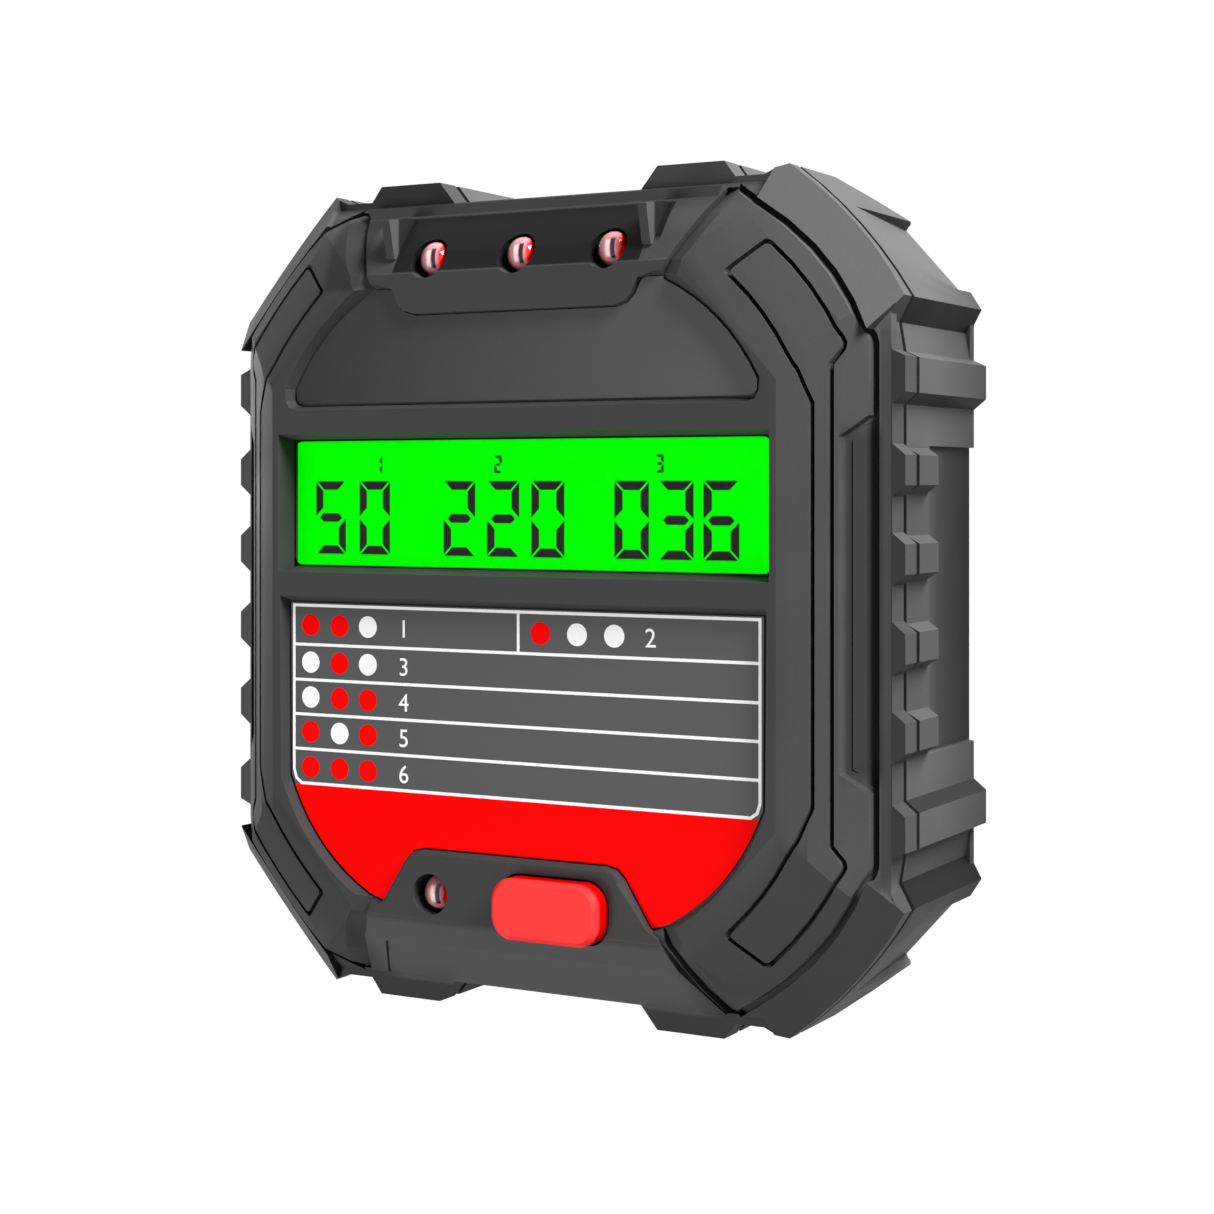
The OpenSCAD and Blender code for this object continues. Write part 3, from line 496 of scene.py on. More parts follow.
def screw_tree(material):
    """Cross-slot screws on points, each with its head towards the back."""
    tree = Tree("rear screws", [("Head diameter", "NodeSocketFloat", 0.0048),
                                ("Head height", "NodeSocketFloat", 0.0022),
                                ("Shank diameter", "NodeSocketFloat", 0.0026),
                                ("Shank length", "NodeSocketFloat", 0.0175)])

    def part(value, share):
        return tree.add("ShaderNodeMath", {"operation": "MULTIPLY"},
                        {0: value, 1: share}).outputs[0]

    def raised(geometry, height):
        place = tree.add("ShaderNodeCombineXYZ", None, {"Z": height})
        return tree.add("GeometryNodeTransform", None,
                        {"Geometry": geometry, "Translation": place.outputs[0]}).outputs[0]

    wide, tall = tree.given["Head diameter"], tree.given["Head height"]
    foot = tree.add("GeometryNodeMeshCylinder", None,
                    {"Vertices": 40, "Radius": part(wide, 0.5), "Depth": part(tall, 0.55)})
    crown = tree.add("GeometryNodeMeshCone", None,
                     {"Vertices": 40, "Radius Bottom": part(wide, 0.49),
                      "Radius Top": part(wide, 0.36), "Depth": part(tall, 0.6)})
    shank = tree.add("GeometryNodeMeshCylinder", None,
                     {"Vertices": 24, "Radius": part(tree.given["Shank diameter"], 0.5),
                      "Depth": tree.given["Shank length"]})
    head = tree.add("GeometryNodeMeshBoolean", {"operation": "UNION"})
    for piece in (raised(foot.outputs[0], part(tall, 0.275)),
                  raised(crown.outputs[0], part(tall, 0.4))):
        tree.group.links.new(piece, head.inputs["Mesh 2"])
    cross = tree.add("GeometryNodeMeshBoolean", {"operation": "DIFFERENCE"},
                     {"Mesh 1": head.outputs[0]})
    # The slots end at two depths, because floors in one plane would leave loose edges
    for long, across, middle in ((0.6, 0.13, 1.0), (0.13, 0.6, 0.97)):
        size = tree.add("ShaderNodeCombineXYZ", None,
                        {"X": part(wide, long), "Y": part(wide, across), "Z": tall})
        slot = tree.add("GeometryNodeMeshCube", None, {"Size": size.outputs[0]})
        tree.group.links.new(raised(slot.outputs[0], part(tall, middle)), cross.inputs["Mesh 2"])
    whole = tree.add("GeometryNodeJoinGeometry")
    for piece in (cross.outputs[0],
                  raised(shank.outputs[0], part(tree.given["Shank length"], -0.5))):
        tree.group.links.new(piece, whole.inputs[0])
    turned = tree.add("GeometryNodeTransform", None,
                      {"Geometry": whole.outputs[0], "Rotation": (-math.pi / 2, 0, 0)})
    spread = tree.add("GeometryNodeInstanceOnPoints", None,
                      {"Points": tree.given["Geometry"], "Instance": turned.outputs[0]})
    tree.close(spread.outputs[0], material)
    return tree


# Pieces

class OBJECT_OT_tester_shells(bpy.types.Operator):
    """Finish the two moulded half shells"""
    bl_idname = "object.tester_shells"
    bl_label = "Shells"

    # The housing's rim, in millimetres: its front, the box of its outline, and the box that keeps
    # out the button's opening
    FRONT, HALF, LOW, HIGH = -43.8, 13.5, -26.5, -21.5
    OPENING_HALF, OPENING_TOP = 9.8, -22.75
    # Share of the right side's painted shade that the left side, which gets less lamp light, takes
    LEFT_SHARE = 0.3
    # How much darker the painted shade makes the rib slopes that look towards the middle, on the
    # front and rear shell
    FRONT_SLOPES, REAR_SLOPES = 0.4, 0.88

    def housing_rim(self, place):
        """Whether a point is on the front rim of the button's housing."""
        x, y, z = place / MM
        return (abs(y - self.FRONT) < 0.02 and abs(x) < self.HALF and self.LOW < z < self.HIGH
                and (z > self.OPENING_TOP or abs(x) > self.OPENING_HALF))

    def side(self, f):
        """1 on the right side of the case, less on the left side, and 0 between them: where the
        sides' painted shade goes.
        """
        x = f.axis("X")
        return f.above(x, 30.0, 30.6) + f.below(x, -30.6, -30.0) * self.LEFT_SHARE

    def inward(self, f):
        """Above 0 on the slopes of the side ribs that look towards the middle of the case, where
        painted shade darkens them.
        """
        up = f.span(f.axis("Z"), -2 * MM, 2 * MM, -1, 1)
        normal = f.add("ShaderNodeNewGeometry").outputs["True Normal"]
        rise = f.add("ShaderNodeSeparateXYZ", None, {"Vector": normal}).outputs["Z"]
        return f.span(Value(f.tree, rise) * up, -0.35, -0.1, 1, 0) * self.side(f)

    def front_painted_shading(self, f):
        """Painted light and shade on the front shell: 1 apart from the places listed here, each
        painted its share darker or lighter, times the painted shade on the inward rib slopes."""
        across, z = f.axis("X"), f.axis("Z")
        x, height = abs(across), abs(z)
        beside_lamps = f.below(x, 13.4, 13.5) * f.above(f.axis("Y"), -42.4, -42.1)
        lamp_slope = f.above(z, 27.5, 27.7) * f.below(z, 32.6, 32.8)
        pocket = f.above(x, 28.6, 28.8) * f.below(x, 31.0, 31.2) * f.below(height, 13.0, 14.5)
        foot = f.below(z, -28.2, -27.4) * f.above(z, -34.5, -34.2) * f.below(x, 14.5, 17.0)
        corner = f.above(across, -20.0, -19.0) * f.below(across, -15.6, -15.0)
        corner_height = f.above(z, 26.0, 26.6) * f.below(z, 32.6, 33.0)
        top_bumper = f.above(z, 33.8, 34.1) * f.below(across, -4.0, -3.0)
        left_ribs = f.below(across, -30.9, -30.5)
        right_ribs = f.above(across, 30.9, 31.1) * f.below(height, 21.5, 22.5)
        # Painted shade darkens the lamp slope, the side pocket, the upper left corner, the top
        # bumper and the right ribs; painted light lightens the foot and the left ribs
        painted_shading = 1
        for place, share in ((lamp_slope * beside_lamps.most(f.below(x, 12.0, 12.1)), -0.78),
                             (pocket, -0.4), (corner * corner_height, -0.45), (top_bumper, -0.45),
                             (foot, 0.9), (left_ribs, 0.8), (right_ribs, -0.3)):
            painted_shading = painted_shading + place * share
        return painted_shading * (1 - self.inward(f) * self.FRONT_SLOPES)

    def rear_painted_shading(self, f):
        """Painted shade on the rear shell: darker towards the back and the foot of the sides, most
        of all on the grip panels.
        """
        y, z = f.axis("Y"), f.axis("Z")
        height = abs(z)
        grip = (f.span(y, -29.6 * MM, -27 * MM, 0.25, 0.58)
                + f.span(y, -27 * MM, -19.5 * MM, 0, 0.34)) * f.below(height, 12.4, 12.6)
        low = f.span(z, -24 * MM, -14 * MM, 0.72, 1)
        back = f.span(y, -30 * MM, -18 * MM, 1, 0.4)
        # Share of the sides' colour that the painted shade leaves
        painted_side_shade = (1 - grip) * low * back
        slopes = self.inward(f) * f.above(height, 12.6, 13.4) * self.REAR_SLOPES
        return (1 - self.side(f) * (1 - painted_side_shade)) * (1 - slopes)

    def execute(self, context):
        s = context.scene.tester_shell
        for node, name, painted_shading in (("front_case", "front_shell", self.front_painted_shading),
                                 ("rear_case", "rear_shell", self.rear_painted_shading)):
            plastic = moulded(name + " plastic", s.plastic, s.grain, painted_shading=painted_shading)
            shell = softened(node, name, s.edge, 2, plastic, rim=self.housing_rim,
                             rim_edge=s.housing)
            settle(shell, "case", "case_plastic", node)
        return {"FINISHED"}


# Table lines and dots of the lower film, in millimetres
ROWS = (-1.2, -4.65, -7.75, -10.8, -13.85, -17.0)
DIVIDER = 0.45
SIDE = 22.7
DOT_X = (-20.9, -17.8, -14.8)
DOT_X2 = (2.6, 6.1, 9.6)
LEGEND = (("RRW", DOT_X, 0), ("RWW", DOT_X2, 0), ("WRW", DOT_X, 1), ("WRR", DOT_X, 2),
          ("RWR", DOT_X, 3), ("RRR", DOT_X, 4))
# The numeral beside each row's dots, its place across and its row
ROW_NUMBERS = (("1", -11.6, 0), ("2", 12.4, 0), ("3", -11.6, 1), ("4", -11.6, 2),
               ("5", -11.6, 3), ("6", -11.6, 4))
NUMBER_HEIGHT = 1.6
# Printed lines that cross stand this much before each other, in metres, so that no two fronts lie
# in one plane
STEP = 0.001 * MM


def row_middle(i):
    """Height of a table row's middle, in millimetres."""
    return (ROWS[i] + ROWS[i + 1]) / 2


# Height of a numeral as a share of the font's size
NUMERAL_SHARE = 0.73


def figure(text, x, z, height, y, thick, material, name):
    """Plain numerals as a thin mesh in the face plane."""
    curve = bpy.data.curves.new(name, "FONT")
    curve.body = text
    curve.size = height * MM / NUMERAL_SHARE
    curve.extrude = thick / 2
    obj = bpy.data.objects.new(name, curve)
    bpy.context.scene.collection.objects.link(obj)
    upright = Matrix.Rotation(math.pi / 2, 4, "X")
    obj.matrix_world = Matrix.Translation((x * MM, y, z * MM)) @ upright
    bpy.context.view_layer.update()
    graph = bpy.context.evaluated_depsgraph_get()
    mesh = bpy.data.meshes.new_from_object(obj.evaluated_get(graph))
    mesh.transform(obj.matrix_world)
    bpy.data.objects.remove(obj)
    bm = bmesh.new()
    bm.from_mesh(mesh)
    bpy.data.meshes.remove(mesh)
    bmesh.ops.remove_doubles(bm, verts=bm.verts, dist=1e-7)
    bmesh.ops.recalc_face_normals(bm, faces=bm.faces)
    return mesh_object(name, bm, material)


class OBJECT_OT_tester_prints(bpy.types.Operator):
    """Print the two films: table lines, legend dots, numerals and the red field"""
    bl_idname = "object.tester_prints"
    bl_label = "Prints"

    def film(self, name, tint, left, right):
        """Matt film with painted light that rises from the left to the right."""
        f = Finish(name)
        across = f.span(f.axis("X"), -23 * MM, 23 * MM)
        weave = f.noise(0.12 * MM, 1.5)
        base = f.mix(across * 0.85 + weave * 0.15, shade(tint, left), shade(tint, right))
        return f.surface(Base_Color=base, Roughness=f.span(weave, 0.3, 0.7, 0.4, 0.5),
                         Normal=f.bump(weave, 0.004 * MM, 0.4), Specular_IOR_Level=0.05)

    def ink(self, name, tint):
        """Screen-printed ink with slightly uneven cover."""
        f = Finish(name)
        cover = f.noise(0.15 * MM, 2)
        return f.surface(Base_Color=f.mix(f.span(cover, 0.3, 0.7), shade(tint, 0.96), tint),
                         Roughness=f.span(cover, 0.3, 0.7, 0.46, 0.56), Specular_IOR_Level=0.02)

    def execute(self, context):
        s = context.scene.tester_print
        white, red = self.ink("white ink", s.white), self.ink("red ink", s.red)
        # Painted light rises across both films, strongly on the upper film
        dress(self.film("upper film", s.dark_film, left=0.4, right=1.6), "upper_label")
        dress(self.film("table film", s.film, left=0.94, right=1.06), "lower_label")
        front, back = LABEL_Y - s.ink, LABEL_Y
        half = s.line / 2 / MM

        bm = bmesh.new()
        for z in ROWS[1:-1]:
            self.line(bm, [(-SIDE, z), (SIDE, z)], half, front, back)
        self.line(bm, [(DIVIDER, ROWS[0]), (DIVIDER, ROWS[1])], half, front - STEP, back)
        base = ROWS[-1] + half
        corner = [(SIDE, base + 1.2), (SIDE - 0.25, base + 0.4), (SIDE - 0.8, base)]
        frame_line = [(-SIDE, ROWS[0]), (SIDE, ROWS[0]), *corner,
                      *((-x, z) for x, z in reversed(corner)), (-SIDE, ROWS[0])]
        self.line(bm, frame_line, half, front - 2 * STEP, back)
        settle(mesh_object("table_lines", bm, white), "case", "lower_label")

        bm = bmesh.new()
        prism(bm, self.red_outline(), front, back)
        settle(mesh_object("red_field", bm, red), "case", "lower_label")

        for mark, ink, name in (("R", red, "red_dots"), ("W", white, "white_dots")):
            places = [(x * MM, LABEL_Y - s.ink / 2, row_middle(row) * MM)
                      for pattern, columns, row in LEGEND
                      for x, sign in zip(columns, pattern) if sign == mark]
            dots = dot_tree(ink).apply(points_object(name, places),
                                       {"Diameter": s.dot, "Thickness": s.ink})
            settle(dots, "case", "lower_label")

        for text, x, row in ROW_NUMBERS:
            number = figure(text, x, row_middle(row) - NUMBER_HEIGHT / 2, NUMBER_HEIGHT,
                            LABEL_Y - s.ink / 2, s.ink, white, "row_number_" + text)
            settle(number, "case", "lower_label")
        return {"FINISHED"}

    def line(self, bm, path, half, front, back):
        """A printed line along a path of (x, z) points in millimetres."""
        closed = path[0] == path[-1]
        points = [Vector(p) for p in (path[:-1] if closed else path)]
        count = len(points)
        first, second = [], []
        for i, p in enumerate(points):
            before = points[i - 1] if closed or i else p
            after = points[(i + 1) % count] if closed or i < count - 1 else p
            normals = [Vector((a.y - b.y, b.x - a.x)).normalized()
                       for a, b in ((before, p), (p, after)) if a != b]
            middle = sum(normals, Vector((0, 0))).normalized()
            shift = middle * half / max(0.3, middle.dot(normals[0]))
            first.append(p + shift)
            second.append(p - shift)
        band(bm, first, second, front, back, closed)

    def red_outline(self):
        """The part of the film's own outline that lies below the table."""
        bm = bmesh.new()
        bm.from_mesh(NODES["lower_label"].data)
        bmesh.ops.remove_doubles(bm, verts=bm.verts, dist=1e-6)
        bmesh.ops.dissolve_limit(bm, angle_limit=0.01, verts=bm.verts, edges=bm.edges)
        face = min(bm.faces, key=lambda f: f.normal.y * f.calc_area())
        ring = [(v.co.x, v.co.z) for v in face.verts]
        bm.free()
        limit = ROWS[-1] * MM
        kept = []
        for a, b in zip(ring, ring[1:] + ring[:1]):
            if a[1] <= limit:
                kept.append(a)
            if (a[1] - limit) * (b[1] - limit) < 0:
                t = (limit - a[1]) / (b[1] - a[1])
                kept.append((a[0] + (b[0] - a[0]) * t, limit))
        return kept


# Which of the seven segments each numeral lights: top, upper right, lower right, bottom,
# lower left, upper left, middle
SEVEN = {"0": "1111110", "1": "0110000", "2": "1101101", "3": "1111001", "4": "0110011",
         "5": "1011011", "6": "1011111", "7": "1110000", "8": "1111111", "9": "1111011"}
# The digits of the three readings and the numeral above each, with the place of its middle in
# millimetres
DIGITS = (("5", -20.2), ("0", -15.5), ("2", -6.7), ("2", -2.3), ("0", 2.1), ("0", 10.1),
          ("3", 14.2), ("6", 18.3))
READINGS = (("1", -15.1), ("2", -2.8), ("3", 12.7))
# The height that each line of numerals stands on, and the width of its bars as a share of the
# numeral's own height
DIGITS_FOOT, DIGITS_WEIGHT = 3.3, 0.12
READINGS_FOOT, READINGS_HEIGHT, READINGS_WEIGHT = 10.4, 1.5, 0.16
# Thickness of a numeral's bars and of the window's border, in metres
SEGMENT_THICK, BORDER_THICK = 0.02 * MM, 0.01 * MM


def border(bm, box, width, radius, front, back):
    """A dark frame of painted shadow inside a box in millimetres, with rounded inner corners."""
    x0, x1, z0, z1 = box
    inner, outer = [], []
    for cx, cz, start in ((x1, z1, 0), (x0, z1, 90), (x0, z0, 180), (x1, z0, 270)):
        sx, sz = (1 if cx == x1 else -1), (1 if cz == z1 else -1)
        for step in range(7):
            a = math.radians(start + 15 * step)
            inner.append((cx - sx * (width + radius) + radius * math.cos(a),
                          cz - sz * (width + radius) + radius * math.sin(a)))
            outer.append((cx, cz))
    band(bm, inner, outer, front, back, True)
    bmesh.ops.remove_doubles(bm, verts=bm.verts, dist=1e-7)


class OBJECT_OT_tester_display(bpy.types.Operator):
    """Light the display and draw its segments"""
    bl_idname = "object.tester_display"
    bl_label = "Display"

    def segment(self, bm, a, b, inward, width, gap, y):
        """One bar of a numeral between two corners: square outside, mitred towards the inside."""
        a, b, inward = Vector(a), Vector(b), Vector(inward)
        along = (b - a).normalized()
        a, b = a + along * gap, b - along * gap
        if inward.length:
            deep, slope = inward * width, along * width
            ring = [a, b, b - slope + deep, a + slope + deep]
        else:
            half = Vector((-along.y, along.x)) * width / 2
            tip = along * width / 2
            ring = [a, a + tip + half, b - tip + half, b, b - tip - half, a + tip - half]
        prism(bm, [(p.x * MM, p.y * MM) for p in ring], y - SEGMENT_THICK, y)

    def numeral(self, bm, sign, middle, z, height, y, weight):
        """A seven-segment numeral that stands on z, with bars of a share of its height."""
        wide, bar, gap = height * 0.5, height * weight, height * 0.016
        x, right, top, mid = middle - wide / 2, middle + wide / 2, z + height, z + height / 2
        bars = (((x, top), (right, top), (0, -1)), ((right, top), (right, mid), (-1, 0)),
                ((right, mid), (right, z), (-1, 0)), ((x, z), (right, z), (0, 1)),
                ((x, z), (x, mid), (1, 0)), ((x, mid), (x, top), (1, 0)),
                ((x + bar * 0.4, mid), (right - bar * 0.4, mid), (0, 0)))
        for lit, (a, b, inward) in zip(SEVEN[sign], bars):
            if lit == "1":
                self.segment(bm, a, b, inward, bar, gap, y)

    def execute(self, context):
        s = context.scene.tester_display
        f = Finish("lit display")
        cells = f.noise(0.35 * MM, 2)
        glow = f.mix(f.span(cells, 0.3, 0.7), shade(s.light, 0.97), s.light)
        dress(f.surface(Base_Color=shade(s.light, 0.3), Roughness=0.5, Emission_Color=glow,
                        Emission_Strength=s.glow, Specular_IOR_Level=0.0), "lcd_glass")
        f = Finish("dark segments")
        dark = f.mix(f.noise(0.2 * MM), shade(s.segment, 0.85), shade(s.segment, 1.1))
        ink = f.surface(Base_Color=dark, Roughness=0.6, Specular_IOR_Level=0.05)
        glass_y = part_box("lcd_glass")[0].y
        bm = bmesh.new()
        for sign, x in DIGITS:
            self.numeral(bm, sign, x, DIGITS_FOOT, s.digit / MM, glass_y, DIGITS_WEIGHT)
        settle(mesh_object("large_digits", bm, ink), "case", "display")
        bm = bmesh.new()
        for sign, x in READINGS:
            self.numeral(bm, sign, x, READINGS_FOOT, READINGS_HEIGHT, glass_y, READINGS_WEIGHT)
        settle(mesh_object("small_digits", bm, ink), "case", "display")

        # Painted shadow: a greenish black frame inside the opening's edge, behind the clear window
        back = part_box("lcd_window")[0].y
        half, z0, z1 = s.opening / MM, s.bottom / MM, s.top / MM
        bm = bmesh.new()
        border(bm, (-half, half, z0, z1), s.border / MM, s.corner / MM, back - BORDER_THICK, back)
        f = Finish("window border")
        painted_shadow = f.mix(f.noise(0.3 * MM), (0.003, 0.006, 0.003), (0.006, 0.01, 0.006))
        painted_shadow = f.surface(Base_Color=painted_shadow, Roughness=0.7, Specular_IOR_Level=0.02)
        settle(mesh_object("window_border", bm, painted_shadow), "case", "display")
        f = Finish("clear window")
        haze = f.noise(4 * MM, 3)
        dress(f.surface(Base_Color=(0.0, 0.02, 0.0), Roughness=f.span(haze, 0.3, 0.7, 0.04, 0.09),
                        Alpha=0.06, Specular_IOR_Level=0.3), "lcd_window")
        return {"FINISHED"}


class OBJECT_OT_tester_lamps(bpy.types.Operator):
    """Shape and colour the four lamps"""
    bl_idname = "object.tester_lamps"
    bl_label = "Lamps"

    # Colours of a lens's painted shade on its unlit left side and of the dark bar in it
    UNLIT, DARK_BAR = (0.012, 0.001, 0.001), (0.004, 0.001, 0.001)

    def lens(self, bm, place, radius, y_back, y_tip, flange):
        """A turned lens with a round end."""
        profile = [(0, y_back), (radius + flange, y_back), (radius + flange, y_back - 0.9 * MM),
                   (radius, y_back - 0.95 * MM)]
        profile += [(radius * math.cos(a), y_tip + radius * (1 - math.sin(a)))
                    for a in (math.radians(d) for d in range(0, 91, 9))]
        turns = 40
        loops = []
        for r, y in profile:
            if r < 1e-9:
                loops.append([bm.verts.new((place.x, y, place.z))])
                continue
            angles = [2 * math.pi * k / turns for k in range(turns)]
            loops.append([bm.verts.new((place.x + r * math.cos(a), y, place.z + r * math.sin(a)))
                          for a in angles])
        for a, b in zip(loops, loops[1:]):
            for k in range(turns):
                j = (k + 1) % turns
                quad = [a[k % len(a)], a[j % len(a)], b[j % len(b)], b[k % len(b)]]
                quad = list(dict.fromkeys(quad))
                if len(quad) > 2:
                    bm.faces.new(quad)
        bmesh.ops.recalc_face_normals(bm, faces=bm.faces)

    def bar(self, f, x, z, middle, half, high):
        """An upright bar seen in a lens: 1 inside it and 0 outside, sizes in millimetres."""
        return (f.below(abs(x - middle * MM), half, half + 0.08)
                * f.below(abs(z), high, high + 0.2))

    def execute(self, context):
        s = context.scene.tester_lamp
        for node in ("left_led", "middle_led", "right_led", "trip_led"):
            low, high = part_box(node)
            middle = (low + high) / 2
            f = Finish(node + " lens")
            x, z = f.axis("X") - middle.x, f.axis("Z") - middle.z
            drift = f.noise(0.5 * MM, 2)
            # Painted shade: the lens's left side takes the unlit colour
            lit = f.above(x + drift * 0.3 * MM, -0.9, -0.1)
            tint = f.mix(lit, self.UNLIT, s.lens)
            # A painted highlight bar in the middle of the lens
            tint = f.mix(self.bar(f, x, z, middle=0.02, half=0.16, high=0.6), tint, s.painted_highlight)
            # Painted red light on the lens's right edge
            tint = f.mix(f.above(x, 0.7, 0.95), tint, s.core)
            tint = f.mix(self.bar(f, x, z, middle=0.47, half=0.13, high=0.75), tint, self.DARK_BAR)
            clear = f.surface(Base_Color=tint, Roughness=f.span(drift, 0.3, 0.7, 0.1, 0.16),
                              Coat_Weight=0.5, Coat_Roughness=0.04, Specular_IOR_Level=0.3)
            bm = bmesh.new()
            self.lens(bm, middle, s.radius, high.y, low.y, s.flange)
            lamp = mesh_object(node + "_lens", bm, clear)
            lamp.data.polygons.foreach_set("use_smooth", [True] * len(lamp.data.polygons))
            lamp.data.set_sharp_from_angle(angle=math.radians(40))
            settle(lamp, "case", "lens", node)
        return {"FINISHED"}


class OBJECT_OT_tester_button(bpy.types.Operator):
    """Round and colour the push button"""
    bl_idname = "object.tester_button"
    bl_label = "Button"

    def execute(self, context):
        s = context.scene.tester_button
        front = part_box("test_button")[0].y
        # Painted shade: behind the front face the red is multiplied by the darker side tint
        red = moulded("button red", s.red, grain=0.2 * MM, depth=0.006 * MM, rough=0.38, spread=0.03,
                      painted_shading=lambda f: f.mix(f.span(f.axis("Y"), front + s.edge / 2,
                                                  front + s.edge * 1.5), (1, 1, 1), s.side))
        cap = softened("test_button", "button_cap", s.edge, 4, red, angle=30)
        settle(cap, "button", "red_plastic", "test_button")
        return {"FINISHED"}


class OBJECT_OT_tester_plug(bpy.types.Operator):
    """Finish the plug, its contacts and the rear screws"""
    bl_idname = "object.tester_plug"
    bl_label = "Plug"

    def execute(self, context):
        s = context.scene.tester_plug
        plastic = moulded("plug body", s.body, grain=0.2 * MM, depth=0.01 * MM, rough=0.48)
        nickel = metal("nickel pins", s.nickel, rough=0.2, brushed=(1, 0.05, 1))
        strip = metal("spring strip", s.nickel, rough=0.28, brushed=(0.1, 1, 1))
        steel = metal("screw steel", s.steel, rough=0.35)
        for node, name, edge, finish, slot in (
                ("plug_insert", "plug_body", 0.3, plastic, "plug_plastic"),
                ("line_pin", "right_pin", 0.12, nickel, "nickel"),
                ("neutral_pin", "left_pin", 0.12, nickel, "nickel"),
                ("earth_strap", "earth_strip", 0.08, strip, "nickel")):
            settle(softened(node, name, edge * MM, 2, finish, angle=28), "case", slot, node)
        dress(strip, "earth_socket")
        dress(steel, "board_screws", "retainer_screws")

        low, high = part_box("case_screws")
        radius = s.head / 2
        under = high.y - s.head_height
        places = [(x, under, z) for x in (low.x + radius, high.x - radius)
                  for z in (low.z + radius, high.z - radius)]
        screws = screw_tree(steel).apply(points_object("rear_screws", places), {
            "Head diameter": s.head, "Head height": s.head_height, "Shank diameter": s.shank,
            "Shank length": under - low.y})
        settle(screws, "case", "screw_steel", "case_screws")
        return {"FINISHED"}


# Plastics inside the case: name, colour, size and depth of the grain in millimetres, roughness and
# nodes
INNER_PLASTICS = (
    ("black plastic", "1d1d1e", 0.3, 0.006, 0.5, "led_spacers", "switch_body", "controller_chip",
     "rectifier", "test_triac"),
    ("white holder", "e9e9e2", 0.3, 0.005, 0.5, "lcd_frame", "switch_plunger"),
    ("light plate", "e0f5e0", 0.5, 0.004, 0.25, "light_guide"),
    ("side lamps", "f3e7a6", 0.3, 0.004, 0.3, "backlight_leds"),
    ("strip rubber", "d37f97", 0.25, 0.006, 0.6, "zebra_strip"),
    ("retainer plastic", "555555", 0.2, 0.012, 0.5, "pin_retainer"),
    ("film capacitor", "c99f1e", 0.3, 0.004, 0.35, "supply_capacitor"),
    ("capacitor sleeve", "2b2d4a", 0.3, 0.003, 0.3, "smoothing_capacitor"),
    ("ceramic", "c7bfa9", 0.4, 0.01, 0.7, "test_resistor"),
    ("fuse shell", "6b4a2b", 0.3, 0.005, 0.5, "fuse"),
    ("brown wire", "7a4a24", 0.3, 0.004, 0.5, "line_wire"),
    ("blue wire", "2a55b8", 0.3, 0.004, 0.5, "neutral_wire"),
    ("green wire", "5f9a33", 0.3, 0.004, 0.5, "earth_wire"),
)


class OBJECT_OT_tester_inside(bpy.types.Operator):
    """Finish the pieces inside the case"""
    bl_idname = "object.tester_inside"
    bl_label = "Inside"

    def dome(self, finish):
        """The snap dome, which flattens under the plunger, copied here in its rest shape only."""
        bm = bmesh.new()
        bm.from_mesh(NODES["switch_dome"].data)
        dome = settle(mesh_object("snap_dome", bm, finish), "case", "brass", "switch_dome")
        low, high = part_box("switch_dome")
        press = next(joint for joint in frame["joints"] if joint["name"] == "plunger_press")
        1 - press["range_m"][1] / (high.y - low.y)
        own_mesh(dome)

    def execute(self, context):
        for name, code, grain, depth, rough, *nodes in INNER_PLASTICS:
            dress(moulded(name, srgb(code), grain * MM, depth * MM, rough), *nodes)
        dress(metal("tinned wire", srgb("c2c2c0"), 0.3), "led_leads", "switch_cover")
        f = Finish("board lacquer")
        flat = f.add("ShaderNodeMapping", None,
                     {"Vector": f.place, "Rotation": (math.pi / 2, 0, 0)})
        tracks = f.add("ShaderNodeTexBrick", {"offset": 0.5},
                       {"Vector": flat.outputs[0], "Color1": srgb("1e6a3a"),
                        "Color2": srgb("227443"), "Mortar": srgb("2f8a52"), "Scale": 120.0,
                        "Mortar Size": 0.03})
        gloss = f.span(f.noise(1 * MM), 0.3, 0.7, 0.3, 0.4)
        dress(f.surface(Base_Color=tracks.outputs["Color"], Roughness=gloss), "circuit_board")
        self.dome(metal("snap dome", srgb("d6cda9"), 0.25))
        return {"FINISHED"}


# Soft lamps: name, place in metres, size in metres and power in watts
LAMPS = (("front", (-0.27, -0.70, -0.30), 0.35, 4.4),
         ("right", (0.60, -0.15, 0.54), 0.35, 15.0),
         ("right rim", (0.36, 0.36, 0.64), 0.3, 17.5),
         ("left rim", (-0.76, 0.165, 0.096), 0.3, 2.5))
LAMPS_AIM = (0, -0.035, 0)
# Camera: place in metres, turn about the vertical in degrees, focal length and sensor in
# millimetres, and the shift of its frame
EYE = (0.0980, -0.2037, 0.0094)
EYE_TURN = 29
EYE_LENS, EYE_SENSOR = 66.72, 36
EYE_SHIFT = -0.1005
# Gap between the object and the floor, in metres
FLOOR_GAP = 0.0002


def background_seen(tree):
    """1 for a ray from the camera, or one that a gloss or clear piece sends on, else 0."""
    path = tree.nodes.new("ShaderNodeLightPath")
    seen = Value(tree, path.outputs["Is Camera Ray"])
    for ray in ("Is Transmission Ray", "Is Glossy Ray"):
        seen = seen.most(Value(tree, path.outputs[ray]))
    return seen


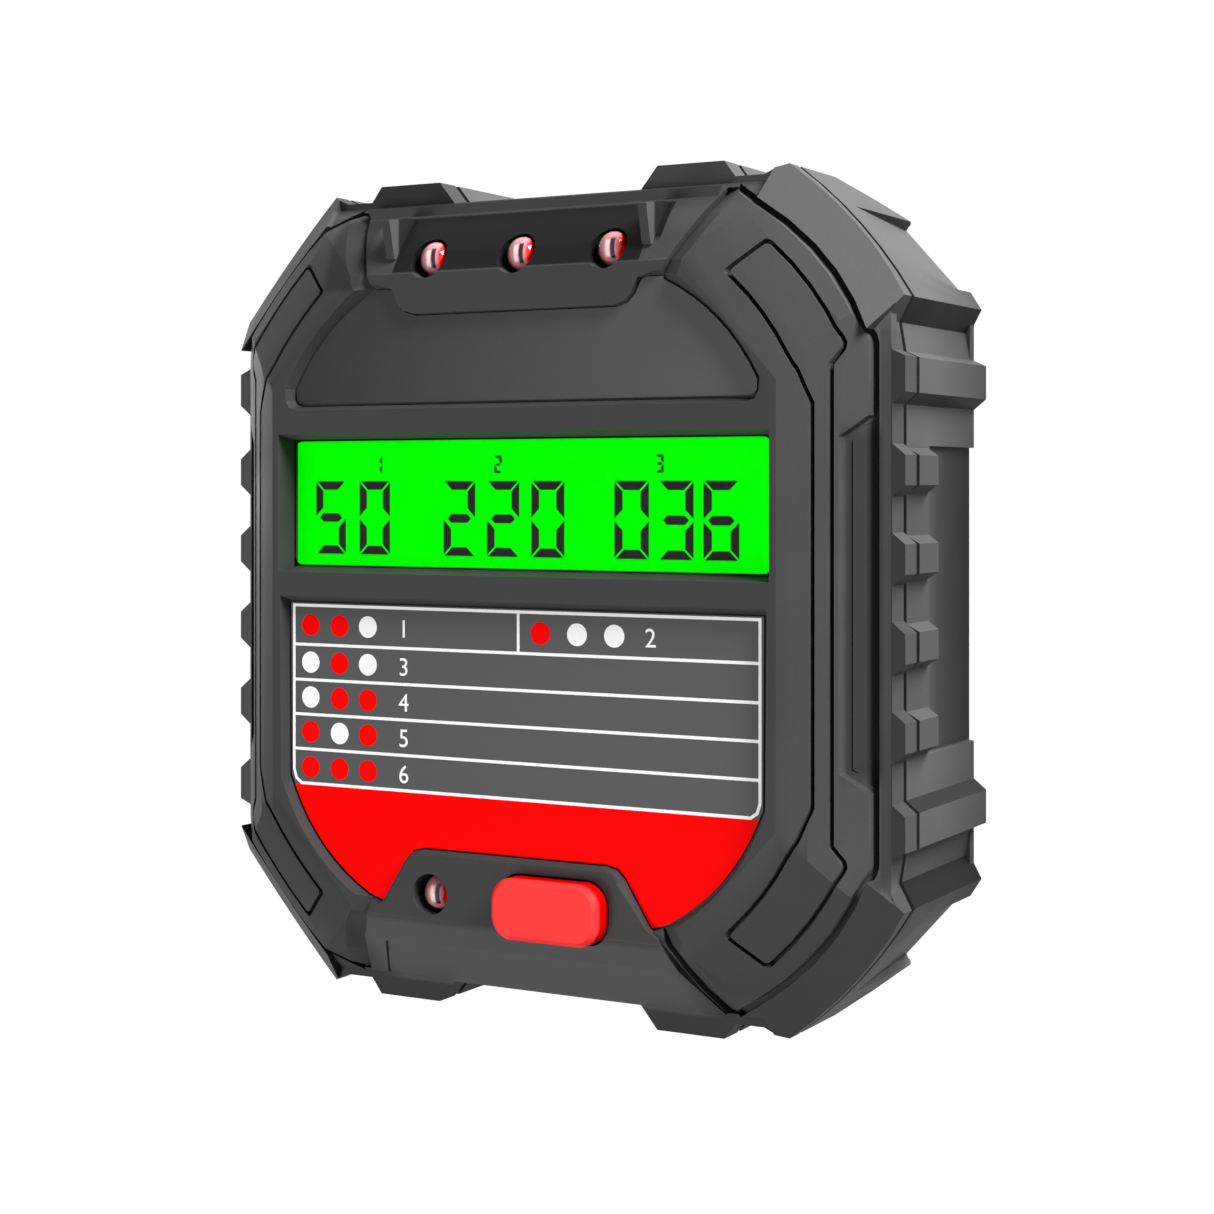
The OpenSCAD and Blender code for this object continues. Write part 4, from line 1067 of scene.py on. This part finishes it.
class OBJECT_OT_tester_stage(bpy.types.Operator):
    """Set the floor, background, lights and camera"""
    bl_idname = "object.tester_stage"
    bl_label = "Stage"

    def lamp(self, name, place, aim, size, watts):
        """A soft square lamp aimed at a point."""
        data = bpy.data.lights.new(name, "AREA")
        data.size = size
        data.energy = watts
        obj = bpy.data.objects.new(name, data)
        bpy.context.scene.collection.objects.link(obj)
        obj.location = place
        obj.rotation_euler = (Vector(aim) - Vector(place)).to_track_quat("-Z", "Y").to_euler()

    def execute(self, context):
        s = context.scene.tester_stage
        scene = context.scene
        scene.view_settings.view_transform = "Standard"

        camera = bpy.data.cameras.new("camera")
        camera.lens = EYE_LENS
        camera.sensor_width = EYE_SENSOR
        camera.shift_y = EYE_SHIFT
        camera.clip_start = 0.01
        eye = bpy.data.objects.new("camera", camera)
        scene.collection.objects.link(eye)
        eye.location = EYE
        eye.rotation_euler = (math.pi / 2, 0, math.radians(EYE_TURN))
        scene.camera = eye

        world = bpy.data.worlds.new("studio")
        scene.world = world
        world.use_nodes = True
        tree = world.node_tree
        tree.nodes.clear()
        sky = tree.nodes.new("ShaderNodeBackground")
        feed(tree, sky.inputs["Color"], s.backdrop)
        feed(tree, sky.inputs["Strength"], background_seen(tree) * (1 - s.fill) + s.fill)
        out = tree.nodes.new("ShaderNodeOutputWorld")
        tree.links.new(sky.outputs[0], out.inputs["Surface"])

        f = Finish("pale floor")
        paper = f.add("ShaderNodeBsdfDiffuse", None, {
            "Color": f.mix(f.noise(3 * MM), shade(s.backdrop, 0.1), shade(s.backdrop, 0.12))})
        white = f.add("ShaderNodeEmission", None, {"Color": s.backdrop, "Strength": 1.05})
        both = f.add("ShaderNodeMixShader", None, {0: background_seen(f.tree) * 0.95,
                                                   1: paper.outputs[0], 2: white.outputs[0]})
        f.tree.links.new(both.outputs[0], f.out.inputs["Surface"])
        bm = bmesh.new()
        bmesh.ops.create_grid(bm, x_segments=8, y_segments=8, size=6)
        bmesh.ops.translate(bm, verts=bm.verts, vec=(0, 0, CAD_BOX[0].z - FLOOR_GAP))
        floor = mesh_object("floor", bm, f.material)
        # The front lamp stands lower than the floor and shines through it
        floor.visible_shadow = False

        if s.lamps:
            for name, place, size, watts in LAMPS:
                self.lamp(name, place, LAMPS_AIM, size, watts)
        return {"FINISHED"}


OPERATORS = (OBJECT_OT_tester_stage, OBJECT_OT_tester_shells, OBJECT_OT_tester_prints,
             OBJECT_OT_tester_display, OBJECT_OT_tester_lamps, OBJECT_OT_tester_button,
             OBJECT_OT_tester_plug, OBJECT_OT_tester_inside)


class VIEW3D_PT_tester(bpy.types.Panel):
    """Settings and steps of the tester"""
    bl_label = "Outlet tester"
    bl_idname = "VIEW3D_PT_tester"
    bl_space_type = "VIEW_3D"
    bl_region_type = "UI"
    bl_category = "Tester"

    def draw(self, context):
        for key, group in SETTINGS.items():
            box = self.layout.box()
            for name in group.__annotations__:
                box.prop(getattr(context.scene, key), name)
        for operator in OPERATORS:
            self.layout.operator(operator.bl_idname)


CLASSES = (*SETTINGS.values(), *OPERATORS, VIEW3D_PT_tester)


def register():
    for item in CLASSES:
        bpy.utils.register_class(item)
    for key, group in SETTINGS.items():
        setattr(bpy.types.Scene, key, PointerProperty(type=group))


def unregister():
    for key in SETTINGS:
        delattr(bpy.types.Scene, key)
    for item in reversed(CLASSES):
        bpy.utils.unregister_class(item)


def main():
    register()
    for operator in OPERATORS:
        group, name = operator.bl_idname.split(".")
        getattr(getattr(bpy.ops, group), name)()


if __name__ == "__main__":
    main()
